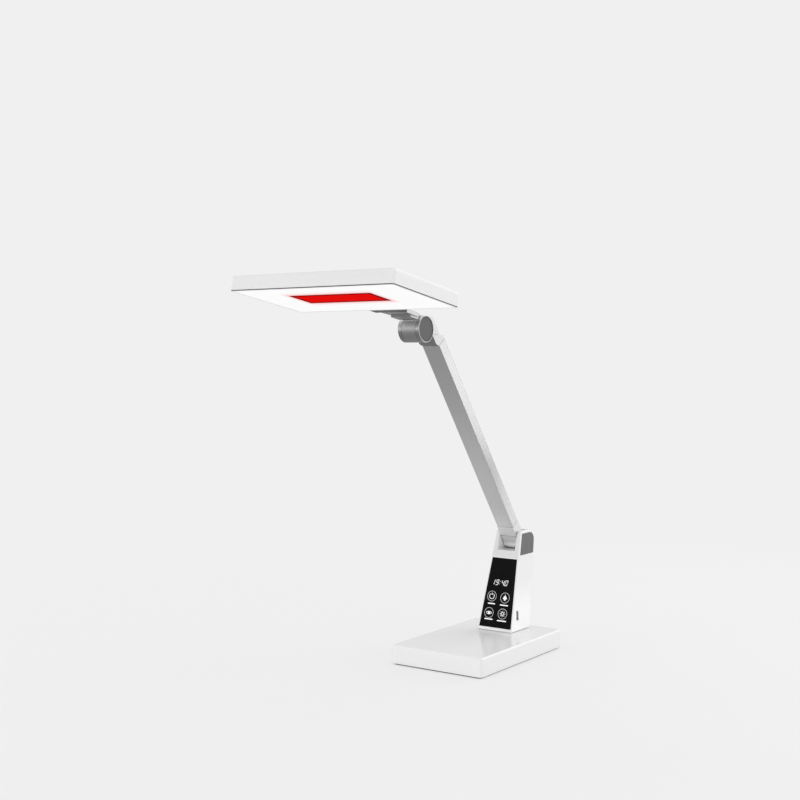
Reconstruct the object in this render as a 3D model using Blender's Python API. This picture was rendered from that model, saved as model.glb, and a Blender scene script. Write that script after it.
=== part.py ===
"""Full spectrum desk lamp: a weighted slab base, a leaning stem with a black touch display,
one folding arm, and a flat panel head with a red light window in its diffuser.

Metres, +Z up. The origin is the middle of the base's footprint on the table, the display
faces -Y, and +X is on the right of someone who looks at the display.
"""

import math

import bmesh
import bpy

for old in list(bpy.data.objects):
    bpy.data.objects.remove(old, do_unlink=True)

# Clearances, and how far cutters and joined shapes run past each other
GAP = 0.0003
OVERRUN = 0.004
OVERLAP = 0.0006

# Fineness of curves
CORNER_STEPS = 4
EDGE_STEPS = 3
ROUND_STEPS = 40
SMALL_STEPS = 20
SMOOTH_ANGLE = math.radians(35)

# Base
BASE_WIDTH = 0.142
BASE_DEPTH = 0.217
BASE_HEIGHT = 0.0267
BASE_CORNER = 0.0045
BASE_EDGE = 0.0022
BASE_WALL = 0.0024
BASE_ROOF = 0.0026
SHADOW_GAP = 0.0018
PAD_THICKNESS = 0.0012
PAD_INSET = 0.0030
COVER_THICKNESS = 0.0026
BOSS_INSET = 0.0120
BOSS_RADIUS = 0.0042
BALLAST_THICKNESS = 0.0075
BALLAST_FRONT_MARGIN = 0.0060
BALLAST_REAR_MARGIN = 0.0202
BALLAST_CORNER = 0.0040
FILM_THICKNESS = 0.0005
FILM_MARGIN = 0.0030
POWER_BOARD_WIDTH = 0.060
POWER_BOARD_DEPTH = 0.046
BOARD_THICKNESS = 0.0016
POWER_BOARD_Y = -0.010
COIL_WIDTH = 0.016
COIL_DEPTH = 0.014
COIL_HEIGHT = 0.0075
COIL_X = -0.016
CAPACITOR_RADIUS = 0.0040
CAPACITOR_HEIGHT = 0.0080
CAPACITOR_X = 0.018
WIRE_HOLE_RADIUS = 0.0080

# Power inlet in the back of the base
INLET_BESIDE_BOSS = 0.0170
INLET_HEIGHT = 0.0155
INLET_WIDTH = 0.0090
INLET_TALL = 0.0100
INLET_LENGTH = 0.0125
INLET_NOSE_RADIUS = 0.0043
INLET_BORE_RADIUS = 0.0029
INLET_BORE_DEPTH = 0.0095
INLET_PIN_RADIUS = 0.0010

# Small screws
SCREW_RADIUS = 0.0015
SCREW_HEAD_RADIUS = 0.0029
SCREW_HEAD_HEIGHT = 0.0014
BASE_SCREW_LENGTH = 0.0120
STEM_SCREW_RADIUS = 0.0020
STEM_SCREW_HEAD_RADIUS = 0.0037
STEM_SCREW_HEAD_HEIGHT = 0.0026
STEM_SCREW_LENGTH = 0.0150

# Stem
STEM_WIDTH = 0.0556
STEM_DEPTH = 0.0523
STEM_TOP = 0.1645
STEM_REAR_MARGIN = 0.0140
STEM_TAPER = math.radians(3.46)
FRONT_LEAN = math.radians(16.3)
REAR_LEAN = math.radians(12.35)
STEM_WALL = 0.0024
STEM_FRONT_WALL = 0.0034
STEM_TOP_FRONT_RADIUS = 0.0030
STEM_TOP_REAR_RADIUS = 0.0120
STEM_EDGE = 0.0012
STEM_FLOOR = 0.0060
STEM_BOSS_RADIUS = 0.0048
STEM_BOSS_HEIGHT = 0.0180
STEM_BOSS_X = 0.0205
STEM_BOSS_BEHIND_FRONT = 0.0278

# Display on the stem's front face, measured along the face from the stem's foot
GLASS_LOW = 0.0048
GLASS_HIGH = 0.1030
GLASS_MARGIN = 0.0020
GLASS_THICKNESS = 0.0018
GLASS_CORNER = 0.0008
BOARD_SETBACK = 0.0058
BOARD_MARGIN = 0.0060
CLOCK_ALONG = 0.0680
CLOCK_WIDTH = 0.0300
CLOCK_HEIGHT = 0.0140
TOUCH_X = 0.0109
TOUCH_ROWS = (0.0247, 0.0478)
TOUCH_SPRING_RADIUS = 0.0040

# Charging socket in the stem's right side
SOCKET_BEHIND_FRONT = 0.0193
SOCKET_HEIGHT = 0.0484
SOCKET_WIDTH = 0.0058
SOCKET_TALL = 0.0131
SOCKET_LENGTH = 0.0140
SOCKET_WALL = 0.0005
SOCKET_CORNER = 0.0006
SOCKET_FLOOR = 0.0016
TONGUE_WIDTH = 0.0018
TONGUE_TALL = 0.0106
TONGUE_SETBACK = 0.0016

# Lower hinge, between the stem's cheeks
HINGE_BELOW_TOP = 0.0170
HINGE_BEHIND_FRONT = 0.0221
SLOT_WIDTH = 0.0286
SLOT_CLEARANCE = 0.0010
SLOT_REAR = 0.0130
LOWER_BOLT_RADIUS = 0.0025
LOWER_HEAD_RADIUS = 0.0047
LOWER_HEAD_HEIGHT = 0.0016
LOWER_HEAD_POCKET = 0.0020
WASHER_THICKNESS = 0.0006
LOWER_WASHER_RADIUS = 0.0085
SIDE_CAP_FRONT_MARGIN = 0.0050
SIDE_CAP_REAR_MARGIN = 0.0028
SIDE_CAP_TOP_MARGIN = 0.0038
SIDE_CAP_HEIGHT = 0.0294
SIDE_CAP_RADIUS = 0.0010
SIDE_CAP_REAR_RADIUS = 0.0095
SIDE_CAP_POCKET = 0.0013
SIDE_CAP_PROUD = 0.0004

# Arm, in its own frame: the hinge at the origin, Z along the arm, -Y its front
ARM_LEAN = math.radians(36.8)
ARM_WIDTH = 0.0262
ARM_THICKNESS = 0.0171
ARM_WALL = 0.0016
ARM_CORNER = 0.0012
ARM_START = 0.0352
ARM_LENGTH = 0.3195
KNUCKLE_RADIUS = 0.0095
KNUCKLE_FACE = 0.0082
KNUCKLE_GROOVE = 0.0014
KNUCKLE_GROOVE_DEPTH = 0.0018
KNUCKLE_SHOULDER = 0.0180
TONGUE_LENGTH = 0.0250
LEAD_RADIUS = 0.0012
LEAD_WEB = 0.0005
ARM_SCREW_RADIUS = 0.0020
ARM_SCREW_HEAD_RADIUS = 0.0034
ARM_SCREW_HEAD_HEIGHT = 0.0010
ARM_SCREW_LENGTH = 0.0058
ARM_SCREW_INSET = 0.0130

# Upper hinge: a barrel in front of the arm's end
BARREL_BEYOND_ARM = 0.0372
BARREL_FORWARD = 0.0226
BARREL_RADIUS = 0.0170
BARREL_LENGTH = 0.0320
EAR_THICKNESS = 0.0055
EAR_SPREAD = math.radians(120)
SADDLE_CLEARANCE = 0.0006
PLATE_REAR = 0.0015
PLATE_FRONT = 0.0120
PLATE_ABOVE_AXIS = 0.0050
COLLAR_BACK_RISE = 0.0040
COLLAR_SLOPE_RISE = 0.0130
COLLAR_FRONT_RISE = 0.0055
CAP_RIM = 0.0009
CAP_THICKNESS = 0.0011
CAP_POCKET = 0.0018
CAP_DISH = 0.0004
CAP_DISH_RADIUS = 0.0125
UPPER_BOLT_RADIUS = 0.0030
UPPER_HEAD_RADIUS = 0.0051
UPPER_HEAD_HEIGHT = 0.0014
UPPER_HEAD_POCKET = 0.0020
UPPER_WASHER_RADIUS = 0.0123
UPPER_WASHER_THICKNESS = 0.0007

# Head, in its own frame: the barrel's axis at the origin, -Y forward, Z up
HEAD_PITCH = math.radians(9.3)
HEAD_WIDTH = 0.238
HEAD_DEPTH = 0.1325
HEAD_HEIGHT = 0.0187
HEAD_CORNER = 0.0035
HEAD_EDGE = 0.0025
HEAD_WALL = 0.0016
HEAD_ROOF = 0.0022
HEAD_FORWARD = 0.0875
HEAD_RISE = 0.0069
NECK_THICKNESS = 0.0052
NECK_TOP = 0.0169
NECK_HALF_START = 0.0158
NECK_HALF_END = 0.0200
NECK_FLARE_END = 0.0610
NECK_INSERT = 0.0285
NECK_SHOULDER_CLEARANCE = 0.0014
NECK_RIB_DROP = 0.0029
NECK_RIB_END = 0.0355
NECK_RIB_HALF = 0.0150
NECK_SCREW_X = 0.0120
NECK_SCREW_BEHIND = 0.0165
NECK_SCREW_LENGTH = 0.0080
NECK_BOSS_RADIUS = 0.0038
ESCUTCHEON_WIDTH = 0.0480
ESCUTCHEON_DEPTH = 0.0308
ESCUTCHEON_HEIGHT = 0.0074
ESCUTCHEON_EDGE = 0.0008
NOTCH_WIDTH = 0.0540
NOTCH_DEPTH = 0.0340

# Light engine inside the head
DIFFUSER_THICKNESS = 0.0020
SEAL_WIDTH = 0.0012
SEAL_LIP = 0.0008
SEAL_LIP_INSET = 0.0003
PANEL_CORNER = 0.0012
LED_BOARD_THICKNESS = 0.0012
LED_BOARD_MARGIN = 0.0010
LED_BOARD_DROP = 0.0004
LED_SIZE = 0.0028
LED_HEIGHT = 0.0007
LED_COLUMN_COUNT = 10
LED_ROW_COUNT = 4
LED_SIDE_INSET = 0.01515
LED_END_INSET = 0.02015
TRAY_WALL = 0.0018
TRAY_MARGIN = 0.0008
RED_WIDTH = 0.1200
RED_DEPTH = 0.0436
RED_FORWARD = 0.1605
RED_CORNER = 0.0010
RED_BOARD_SIDE_MARGIN = 0.0080
RED_BOARD_END_MARGIN = 0.0058
RED_LED_COLUMN_COUNT = 7
RED_LED_ROW_COUNT = 2
RED_LED_SIDE_INSET = 0.0085
RED_LED_END_INSET = 0.0080

# Places worked out from the sizes above
STEM_FOOT = BASE_HEIGHT + GAP
ROOF_LOW = BASE_HEIGHT - BASE_ROOF
COVER_LOW = PAD_THICKNESS + GAP
COVER_HIGH = COVER_LOW + COVER_THICKNESS
BALLAST_LOW = COVER_HIGH + GAP
BALLAST_HIGH = BALLAST_LOW + BALLAST_THICKNESS
FILM_LOW = BALLAST_HIGH + GAP
BOARD_LOW = FILM_LOW + FILM_THICKNESS + GAP
BOSS_X = BASE_WIDTH / 2 - BOSS_INSET
BOSS_Y = BASE_DEPTH / 2 - BOSS_INSET
INLET_X = BOSS_X - INLET_BESIDE_BOSS
STEM_FRONT = BASE_DEPTH / 2 - STEM_REAR_MARGIN - STEM_DEPTH
STEM_BOSS_Y = STEM_FRONT + STEM_BOSS_BEHIND_FRONT
SOCKET_Y = STEM_FRONT + SOCKET_BEHIND_FRONT
HINGE_Z = STEM_TOP - HINGE_BELOW_TOP
HINGE_Y = STEM_FRONT + math.tan(FRONT_LEAN) * (HINGE_Z - STEM_FOOT) + HINGE_BEHIND_FRONT
SLOT_SILL = HINGE_Z - KNUCKLE_RADIUS - SLOT_CLEARANCE
CAVITY_TOP = SLOT_SILL - STEM_FLOOR
ARM_END = ARM_START + ARM_LENGTH
BARREL_ALONG = ARM_END + BARREL_BEYOND_ARM
COLLAR_LOW = ARM_END + GAP
EAR_INNER = BARREL_LENGTH / 2 - EAR_THICKNESS
SLEEVE_HALF = EAR_INNER - GAP
NECK_LOW = NECK_TOP - NECK_THICKNESS
NECK_MIDDLE = NECK_TOP - NECK_THICKNESS / 2
NECK_END = HEAD_FORWARD + NECK_INSERT
NECK_SHOULDER = BARREL_RADIUS + NECK_SHOULDER_CLEARANCE
NECK_SCREW_Y = -(HEAD_FORWARD + NECK_SCREW_BEHIND)
HEAD_MIDDLE = -(HEAD_FORWARD + HEAD_DEPTH / 2)
HEAD_TOP = HEAD_RISE + HEAD_HEIGHT
HEAD_CEILING = HEAD_TOP - HEAD_ROOF
INNER_WIDTH = HEAD_WIDTH - 2 * HEAD_WALL
INNER_DEPTH = HEAD_DEPTH - 2 * HEAD_WALL
LED_BOARD_HIGH = HEAD_CEILING - LED_BOARD_DROP
LED_BOARD_LOW = LED_BOARD_HIGH - LED_BOARD_THICKNESS
TRAY_LOW = HEAD_RISE + DIFFUSER_THICKNESS + GAP
TRAY_HIGH = LED_BOARD_LOW - GAP


# Outlines

def rectangle(width, depth, centre=(0, 0)):
    """The four corners of a rectangle, anticlockwise."""
    u, v = centre
    shares = ((-1, -1), (1, -1), (1, 1), (-1, 1))
    return [(u + a * width / 2, v + b * depth / 2) for a, b in shares]


def circle(radius, steps=ROUND_STEPS, centre=(0, 0)):
    return arc(radius, 0, 2 * math.pi * (steps - 1) / steps, steps - 1, centre)


def arc(radius, start, end, steps, centre=(0, 0)):
    """Points at even angles from start to end about the centre."""
    turns = [start + (end - start) * i / steps for i in range(steps + 1)]
    return [(centre[0] + radius * math.cos(t), centre[1] + radius * math.sin(t)) for t in turns]


def rounded(corners, radii, steps=CORNER_STEPS):
    """The outline with an arc in place of each corner whose radius isn't zero."""
    count = len(corners)
    if not isinstance(radii, (list, tuple)):
        radii = [radii] * count
    points = []
    for i, (u, v) in enumerate(corners):
        if radii[i] <= 0:
            points.append((u, v))
            continue
        before = (corners[i - 1][0] - u, corners[i - 1][1] - v)
        after = (corners[(i + 1) % count][0] - u, corners[(i + 1) % count][1] - v)
        to_before = math.atan2(before[1], before[0])
        to_after = math.atan2(after[1], after[0])
        opening = (to_after - to_before + math.pi) % (2 * math.pi) - math.pi
        middle = to_before + opening / 2
        reach = radii[i] / math.sin(abs(opening) / 2)
        centre = (u + reach * math.cos(middle), v + reach * math.sin(middle))
        sweep = (math.pi - abs(opening)) * (1 if opening < 0 else -1)
        first = middle + math.pi - sweep / 2
        points += arc(radii[i], first, first + sweep, steps, centre)
    return points


# Meshes: every solid is a row of rings with the same number of points

def ring(outline, depth, axis):
    """The outline's points in space, in the plane across the axis at that depth."""
    along = "XYZ".index(axis)
    first, second = [i for i in range(3) if i != along]
    points = []
    for u, v in outline:
        place = [0.0, 0.0, 0.0]
        place[first], place[second], place[along] = u, v, depth
        points.append(place)
    return points


def surface(rings, looped=False):
    """A closed mesh through the rings: the ends are capped, or joined where it is looped."""
    shape = bmesh.new()
    rows = [[shape.verts.new(point) for point in points] for points in rings]
    pairs = list(zip(rows, rows[1:]))
    if looped:
        pairs.append((rows[-1], rows[0]))
    else:
        shape.faces.new(rows[0])
        shape.faces.new(rows[-1])
    for lower, upper in pairs:
        for i in range(len(lower)):
            j = (i + 1) % len(lower)
            shape.faces.new((lower[i], lower[j], upper[j], upper[i]))
    bmesh.ops.recalc_face_normals(shape, faces=shape.faces)
    return shape


def prism(outline, low, high, axis="Z"):
    return surface([ring(outline, low, axis), ring(outline, high, axis)])


def slab(width, depth, corner, low, high, centre=(0, 0), edge=0.0):
    """A rounded rectangle between two heights, with its top edge rounded."""
    steps = EDGE_STEPS if edge > 0 else 0
    heights = [(0.0, low)]
    for i in range(steps + 1):
        turn = math.pi / 2 * i / steps if steps else 0.0
        heights.append((edge * (1 - math.cos(turn)), high - edge * (1 - math.sin(turn))))
    rings = []
    for inset, height in heights:
        corners = rectangle(width - 2 * inset, depth - 2 * inset, centre)
        rings.append(ring(rounded(corners, corner - inset), height, "Z"))
    return surface(rings)


def turned(profile, axis, centre=(0, 0), steps=ROUND_STEPS, looped=False):
    """A solid of revolution. The profile lists (radius, place along the axis)."""
    return surface([ring(circle(r, steps, centre), at, axis) for r, at in profile], looped)


def tube(outer, inner, low, high, axis, centre=(0, 0), steps=ROUND_STEPS):
    profile = [(outer, low), (outer, high), (inner, high), (inner, low)]
    return turned(profile, axis, centre, steps, looped=True)


def several(shapes):
    """One mesh that holds several separate ones, for a single cut or join."""
    whole = bmesh.new()
    for shape in shapes:
        piece = bpy.data.meshes.new("piece")
        shape.to_mesh(piece)
        shape.free()
        whole.from_mesh(piece)
        bpy.data.meshes.remove(piece)
    return whole


# Materials

def finish(name, colour, roughness, metallic=0.0):
    material = bpy.data.materials.new(name)
    material.use_nodes = True
    shader = material.node_tree.nodes["Principled BSDF"]
    shader.inputs["Base Color"].default_value = (*colour, 1.0)
    shader.inputs["Roughness"].default_value = roughness
    shader.inputs["Metallic"].default_value = metallic
    return material


WHITE_GLOSS = finish("white_gloss_plastic", (0.83, 0.83, 0.84), 0.22)
WHITE_SATIN = finish("white_satin_plastic", (0.80, 0.80, 0.80), 0.45)
SILVER = finish("silver_aluminium", (0.52, 0.52, 0.53), 0.38, 0.9)
CAST = finish("grey_casting", (0.30, 0.30, 0.31), 0.45, 0.6)
DARK_GREY = finish("dark_grey_plastic", (0.13, 0.13, 0.135), 0.5)
STEEL = finish("plated_steel", (0.60, 0.60, 0.62), 0.35, 1.0)
BALLAST = finish("painted_steel", (0.20, 0.21, 0.22), 0.6, 0.4)
BLACK_GLASS = finish("black_glass", (0.012, 0.012, 0.013), 0.06)
RUBBER = finish("black_rubber", (0.04, 0.04, 0.04), 0.8)
BOARD_GREEN = finish("circuit_board", (0.05, 0.20, 0.10), 0.5)
BOARD_WHITE = finish("white_circuit_board", (0.75, 0.75, 0.73), 0.5)
BLACK_PLASTIC = finish("black_plastic", (0.03, 0.03, 0.03), 0.45)
FILM = finish("grey_film", (0.35, 0.36, 0.38), 0.5)
OPAL = finish("opal_diffuser", (0.92, 0.92, 0.91), 0.35)
RED_LENS = finish("red_lens", (0.75, 0.02, 0.02), 0.2)
NYLON = finish("nylon", (0.70, 0.69, 0.66), 0.5)


# Objects

def link(name, shape, parent):
    mesh = bpy.data.meshes.new(name)
    shape.to_mesh(mesh)
    shape.free()
    thing = bpy.data.objects.new(name, mesh)
    bpy.context.scene.collection.objects.link(thing)
    thing.parent = parent
    return thing


def piece(name, shape, material, parent=None):
    """A visible sub-part, shaded smooth across its shallow edges."""
    thing = link(name, shape, parent)
    thing.data.materials.append(material)
    thing.data.shade_smooth()
    thing.data.set_sharp_from_angle(angle=SMOOTH_ANGLE)
    return thing


def combine(thing, shape, operation):
    """Joins a helper's shape to the sub-part, or cuts it out."""
    tool = link(f"{thing.name}_{operation.lower()}_{len(thing.modifiers)}", shape, thing.parent)
    tool.hide_render = True
    tool.display_type = "WIRE"
    modifier = thing.modifiers.new(operation.title(), "BOOLEAN")
    modifier.operation = operation
    modifier.object = tool
    return thing


def cut(thing, shape):
    return combine(thing, shape, "DIFFERENCE")


def join(thing, shape):
    return combine(thing, shape, "UNION")


def soften(thing, width, segments=2):
    modifier = thing.modifiers.new("Soft edges", "BEVEL")
    modifier.width = width
    modifier.segments = segments
    modifier.limit_method = "ANGLE"
    modifier.angle_limit = SMOOTH_ANGLE
    return thing


def frame(name, place, tilt, parent=None):
    """An empty whose X axis is a joint's axis or an edge of a leaning face."""
    empty = bpy.data.objects.new(name, None)
    bpy.context.scene.collection.objects.link(empty)
    empty.location = place
    empty.rotation_euler = (tilt, 0.0, 0.0)
    empty.parent = parent
    return empty


FACE = frame("display_face", (0, STEM_FRONT, STEM_FOOT), -FRONT_LEAN)
ARM = frame("arm_tilt_axis", (0, HINGE_Y, HINGE_Z), ARM_LEAN)
HEAD = frame("head_tilt_axis", (0, -BARREL_FORWARD, BARREL_ALONG), -ARM_LEAN - HEAD_PITCH, ARM)


# Base

def base_bosses():
    return [(a * BOSS_X, b * BOSS_Y) for a, b in ((-1, -1), (1, -1), (1, 1), (-1, 1))]


def make_anti_slip_pad():
    width = BASE_WIDTH - 2 * PAD_INSET
    depth = BASE_DEPTH - 2 * PAD_INSET
    piece("anti_slip_pad", slab(width, depth, BASE_CORNER, 0, PAD_THICKNESS), RUBBER)


def make_base_bottom_cover():
    width = BASE_WIDTH - 2 * (BASE_WALL + GAP)
    depth = BASE_DEPTH - 2 * (BASE_WALL + GAP)
    corner = BASE_CORNER - BASE_WALL
    cover = piece("base_bottom_cover", slab(width, depth, corner, COVER_LOW, COVER_HIGH), BLACK_PLASTIC)
    ceiling = COVER_LOW + SCREW_HEAD_HEIGHT + GAP
    head = SCREW_HEAD_RADIUS + GAP
    shank = SCREW_RADIUS + GAP
    profile = [
        (head, COVER_LOW - OVERRUN),
        (head, ceiling),
        (shank, ceiling),
        (shank, COVER_HIGH + OVERRUN),
    ]
    cut(cover, several([turned(profile, "Z", place, SMALL_STEPS) for place in base_bosses()]))


def make_base_screws():
    for number, place in enumerate(base_bosses(), 1):
        low = COVER_LOW
        neck = low + SCREW_HEAD_HEIGHT
        profile = [
            (SCREW_HEAD_RADIUS, low),
            (SCREW_HEAD_RADIUS, neck),
            (SCREW_RADIUS, neck),
            (SCREW_RADIUS, low + BASE_SCREW_LENGTH),
        ]
        piece(f"base_screw_{number}", turned(profile, "Z", place, SMALL_STEPS), STEEL)


def make_base_top_shell():
    shell = piece(
        "base_top_shell",
        slab(BASE_WIDTH, BASE_DEPTH, BASE_CORNER, SHADOW_GAP, BASE_HEIGHT, edge=BASE_EDGE),
        WHITE_GLOSS,
    )
    inner = (BASE_WIDTH - 2 * BASE_WALL, BASE_DEPTH - 2 * BASE_WALL)
    corner = BASE_CORNER - BASE_WALL
    cut(shell, slab(*inner, corner, SHADOW_GAP - OVERRUN, ROOF_LOW))
    low = COVER_HIGH + GAP
    boss = [(BOSS_RADIUS, low), (BOSS_RADIUS, ROOF_LOW + OVERLAP)]
    join(shell, several([turned(boss, "Z", place, SMALL_STEPS) for place in base_bosses()]))
    hole = SCREW_RADIUS + GAP
    bore = [(hole, low - OVERRUN), (hole, COVER_LOW + BASE_SCREW_LENGTH + GAP)]
    holes = [turned(bore, "Z", place, SMALL_STEPS) for place in base_bosses()]
    for place in stem_screw_places():
        shank = STEM_SCREW_RADIUS + GAP
        profile = [(shank, ROOF_LOW - OVERRUN), (shank, BASE_HEIGHT + OVERRUN)]
        holes.append(turned(profile, "Z", place, SMALL_STEPS))
    wires = [(WIRE_HOLE_RADIUS, ROOF_LOW - OVERRUN), (WIRE_HOLE_RADIUS, BASE_HEIGHT + OVERRUN)]
    holes.append(turned(wires, "Z", (0, STEM_BOSS_Y), SMALL_STEPS))
    nose = INLET_NOSE_RADIUS + GAP
    rear = BASE_DEPTH / 2
    inlet = [(nose, rear - BASE_WALL - OVERRUN), (nose, rear + OVERRUN)]
    holes.append(turned(inlet, "Y", (INLET_X, INLET_HEIGHT), SMALL_STEPS))
    cut(shell, several(holes))


def make_ballast_plate():
    width = 2 * (BOSS_X - BOSS_RADIUS - 2 * GAP)
    front = -BASE_DEPTH / 2 + BASE_WALL + BALLAST_FRONT_MARGIN
    rear = BASE_DEPTH / 2 - BASE_WALL - BALLAST_REAR_MARGIN
    middle = (front + rear) / 2
    shape = slab(width, rear - front, BALLAST_CORNER, BALLAST_LOW, BALLAST_HIGH, (0, middle))
    piece("ballast_plate", shape, BALLAST)


def make_power_board():
    width = POWER_BOARD_WIDTH + 2 * FILM_MARGIN
    depth = POWER_BOARD_DEPTH + 2 * FILM_MARGIN
    middle = (0, POWER_BOARD_Y)
    film = prism(rectangle(width, depth, middle), FILM_LOW, FILM_LOW + FILM_THICKNESS)
    piece("insulating_film", film, FILM)
    high = BOARD_LOW + BOARD_THICKNESS
    outline = rectangle(POWER_BOARD_WIDTH, POWER_BOARD_DEPTH, middle)
    board = piece("power_board", prism(outline, BOARD_LOW, high), BOARD_GREEN)
    seat = high - OVERLAP
    coil = rectangle(COIL_WIDTH, COIL_DEPTH, (COIL_X, POWER_BOARD_Y))
    can = [(CAPACITOR_RADIUS, seat), (CAPACITOR_RADIUS, high + CAPACITOR_HEIGHT)]
    can = turned(can, "Z", (CAPACITOR_X, POWER_BOARD_Y), SMALL_STEPS)
    join(board, several([prism(coil, seat, high + COIL_HEIGHT), can]))


def make_power_inlet():
    centre = (INLET_X, INLET_HEIGHT)
    inside = BASE_DEPTH / 2 - BASE_WALL - GAP
    outside = BASE_DEPTH / 2
    body = prism(rectangle(INLET_WIDTH, INLET_TALL, centre), inside - INLET_LENGTH, inside, "Y")
    inlet = piece("power_inlet", body, BLACK_PLASTIC)
    nose = [(INLET_NOSE_RADIUS, inside - OVERLAP), (INLET_NOSE_RADIUS, outside)]
    join(inlet, turned(nose, "Y", centre, SMALL_STEPS))
    floor = outside - INLET_BORE_DEPTH
    bore = [(INLET_BORE_RADIUS, floor), (INLET_BORE_RADIUS, outside + OVERRUN)]
    cut(inlet, turned(bore, "Y", centre, SMALL_STEPS))
    pin = [(INLET_PIN_RADIUS, floor - OVERLAP), (INLET_PIN_RADIUS, outside - BASE_WALL)]
    join(inlet, turned(pin, "Y", centre, SMALL_STEPS))


# Stem

def stem_half_width(height):
    """Half the stem's width at a height above the table: it narrows evenly."""
    return STEM_WIDTH / 2 - math.tan(STEM_TAPER) * (height - STEM_FOOT)


def stem_front(height):
    return STEM_FRONT + math.tan(FRONT_LEAN) * (height - STEM_FOOT)


def stem_rear(height):
    return STEM_FRONT + STEM_DEPTH + math.tan(REAR_LEAN) * (height - STEM_FOOT)


def across_stem(outline, grow=0.0):
    """A (y, z) outline carried from one side of the stem to the other."""
    return surface(
        [[(side * (stem_half_width(z) + grow), y, z) for y, z in outline] for side in (-1, 1)]
    )


def on_stem_side(side, outline, low, high):
    """A (y, z) outline that lies on one side of the stem, between two depths from its face."""
    return surface(
        [[(side * (stem_half_width(z) + depth), y, z) for y, z in outline] for depth in (low, high)]
    )


def stem_screw_places():
    return [(side * STEM_BOSS_X, STEM_BOSS_Y) for side in (-1, 1)]


def make_stem_shell():
    corners = [
        (stem_front(STEM_FOOT), STEM_FOOT),
        (stem_rear(STEM_FOOT), STEM_FOOT),
        (stem_rear(STEM_TOP), STEM_TOP),
        (stem_front(STEM_TOP), STEM_TOP),
    ]
    radii = [0, 0, STEM_TOP_REAR_RADIUS, STEM_TOP_FRONT_RADIUS]
    shell = piece("stem_shell", across_stem(rounded(corners, radii)), WHITE_GLOSS)
    soften(shell, STEM_EDGE)
    cut(shell, stem_cavity())
    join(shell, several(stem_bosses()))
    cut(shell, several(stem_holes()))
    cut(shell, glass_shape(GLASS_THICKNESS + GAP, GAP, OVERRUN))
    cut(shell, several(display_openings()))
    cut(shell, hinge_slot())
    for side in (-1, 1):
        cut(shell, on_stem_side(side, side_cap_outline(GAP), -SIDE_CAP_POCKET, OVERRUN))
    cut(shell, lower_hinge_bore())


def stem_cavity():
    low = STEM_FOOT - OVERRUN
    wall = STEM_FRONT_WALL / math.cos(FRONT_LEAN)
    outline = [
        (stem_front(low) + wall, low),
        (stem_rear(low) + OVERRUN, low),
        (stem_rear(CAVITY_TOP) + OVERRUN, CAVITY_TOP),
        (stem_front(CAVITY_TOP) + wall, CAVITY_TOP),
    ]
    return across_stem(outline, -STEM_WALL)


def stem_bosses():
    """Posts for the foot's two screws."""
    posts = []
    for place in stem_screw_places():
        profile = [(STEM_BOSS_RADIUS, STEM_FOOT), (STEM_BOSS_RADIUS, STEM_FOOT + STEM_BOSS_HEIGHT)]
        posts.append(turned(profile, "Z", place, SMALL_STEPS))
    return posts


def stem_holes():
    """Screw holes in the foot, the wire's way up to the hinge and the charging socket's opening."""
    holes = []
    for place in stem_screw_places():
        hole = STEM_SCREW_RADIUS + GAP
        top = ROOF_LOW - GAP + STEM_SCREW_LENGTH + GAP
        holes.append(turned([(hole, STEM_FOOT - OVERRUN), (hole, top)], "Z", place, SMALL_STEPS))
    wire = LEAD_RADIUS + GAP
    profile = [(wire, CAVITY_TOP - OVERRUN), (wire, HINGE_Z)]
    holes.append(turned(profile, "Z", (0, HINGE_Y), SMALL_STEPS))
    opening = rectangle(SOCKET_WIDTH + 2 * GAP, SOCKET_TALL + 2 * GAP, (SOCKET_Y, SOCKET_HEIGHT))
    outside = stem_half_width(SOCKET_HEIGHT) + OVERRUN
    inside = stem_half_width(SOCKET_HEIGHT) - STEM_WALL - OVERRUN
    holes.append(prism(rounded(opening, SOCKET_CORNER + GAP), inside, outside, "X"))
    return holes


def hinge_slot():
    """The space between the cheeks: round under the knuckle, open at the front and the top."""
    reach = KNUCKLE_RADIUS + SLOT_CLEARANCE
    front = stem_front(SLOT_SILL) - OVERRUN
    below = arc(reach, -math.pi / 2, -math.pi / 6, CORNER_STEPS, (HINGE_Y, HINGE_Z))
    outline = [(front, SLOT_SILL)] + below + [
        (HINGE_Y + SLOT_REAR, HINGE_Z),
        (HINGE_Y + SLOT_REAR, STEM_TOP + OVERRUN),
        (front, STEM_TOP + OVERRUN),
    ]
    return prism(outline, -SLOT_WIDTH / 2, SLOT_WIDTH / 2, "X")


def side_cap_outline(grow=0.0):
    """The dark cap's outline, parallel to the stem's own edges. Grown, it is the pocket's."""
    high = STEM_TOP - SIDE_CAP_TOP_MARGIN
    low = high - SIDE_CAP_HEIGHT
    front = SIDE_CAP_FRONT_MARGIN - grow
    rear = SIDE_CAP_REAR_MARGIN - grow
    corners = [
        (stem_front(low) + front, low - grow),
        (stem_rear(low) - rear, low - grow),
        (stem_rear(high) - rear, high + grow),
        (stem_front(high) + front, high + grow),
    ]
    radius = SIDE_CAP_RADIUS + grow
    return rounded(corners, [radius, radius, SIDE_CAP_REAR_RADIUS + grow, radius])


def lower_hinge_faces():
    """How far from the middle the bolt's head pocket ends, and the cap's pocket begins."""
    outer = stem_half_width(HINGE_Z) - SIDE_CAP_POCKET
    return outer - LOWER_HEAD_POCKET, outer


def lower_hinge_bore():
    inner, outer = lower_hinge_faces()
    shank = LOWER_BOLT_RADIUS + GAP
    head = LOWER_HEAD_RADIUS + GAP
    end = outer + OVERRUN
    profile = [(head, -end), (head, -inner), (shank, -inner), (shank, inner), (head, inner), (head, end)]
    return turned(profile, "X", (HINGE_Y, HINGE_Z), SMALL_STEPS)


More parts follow.
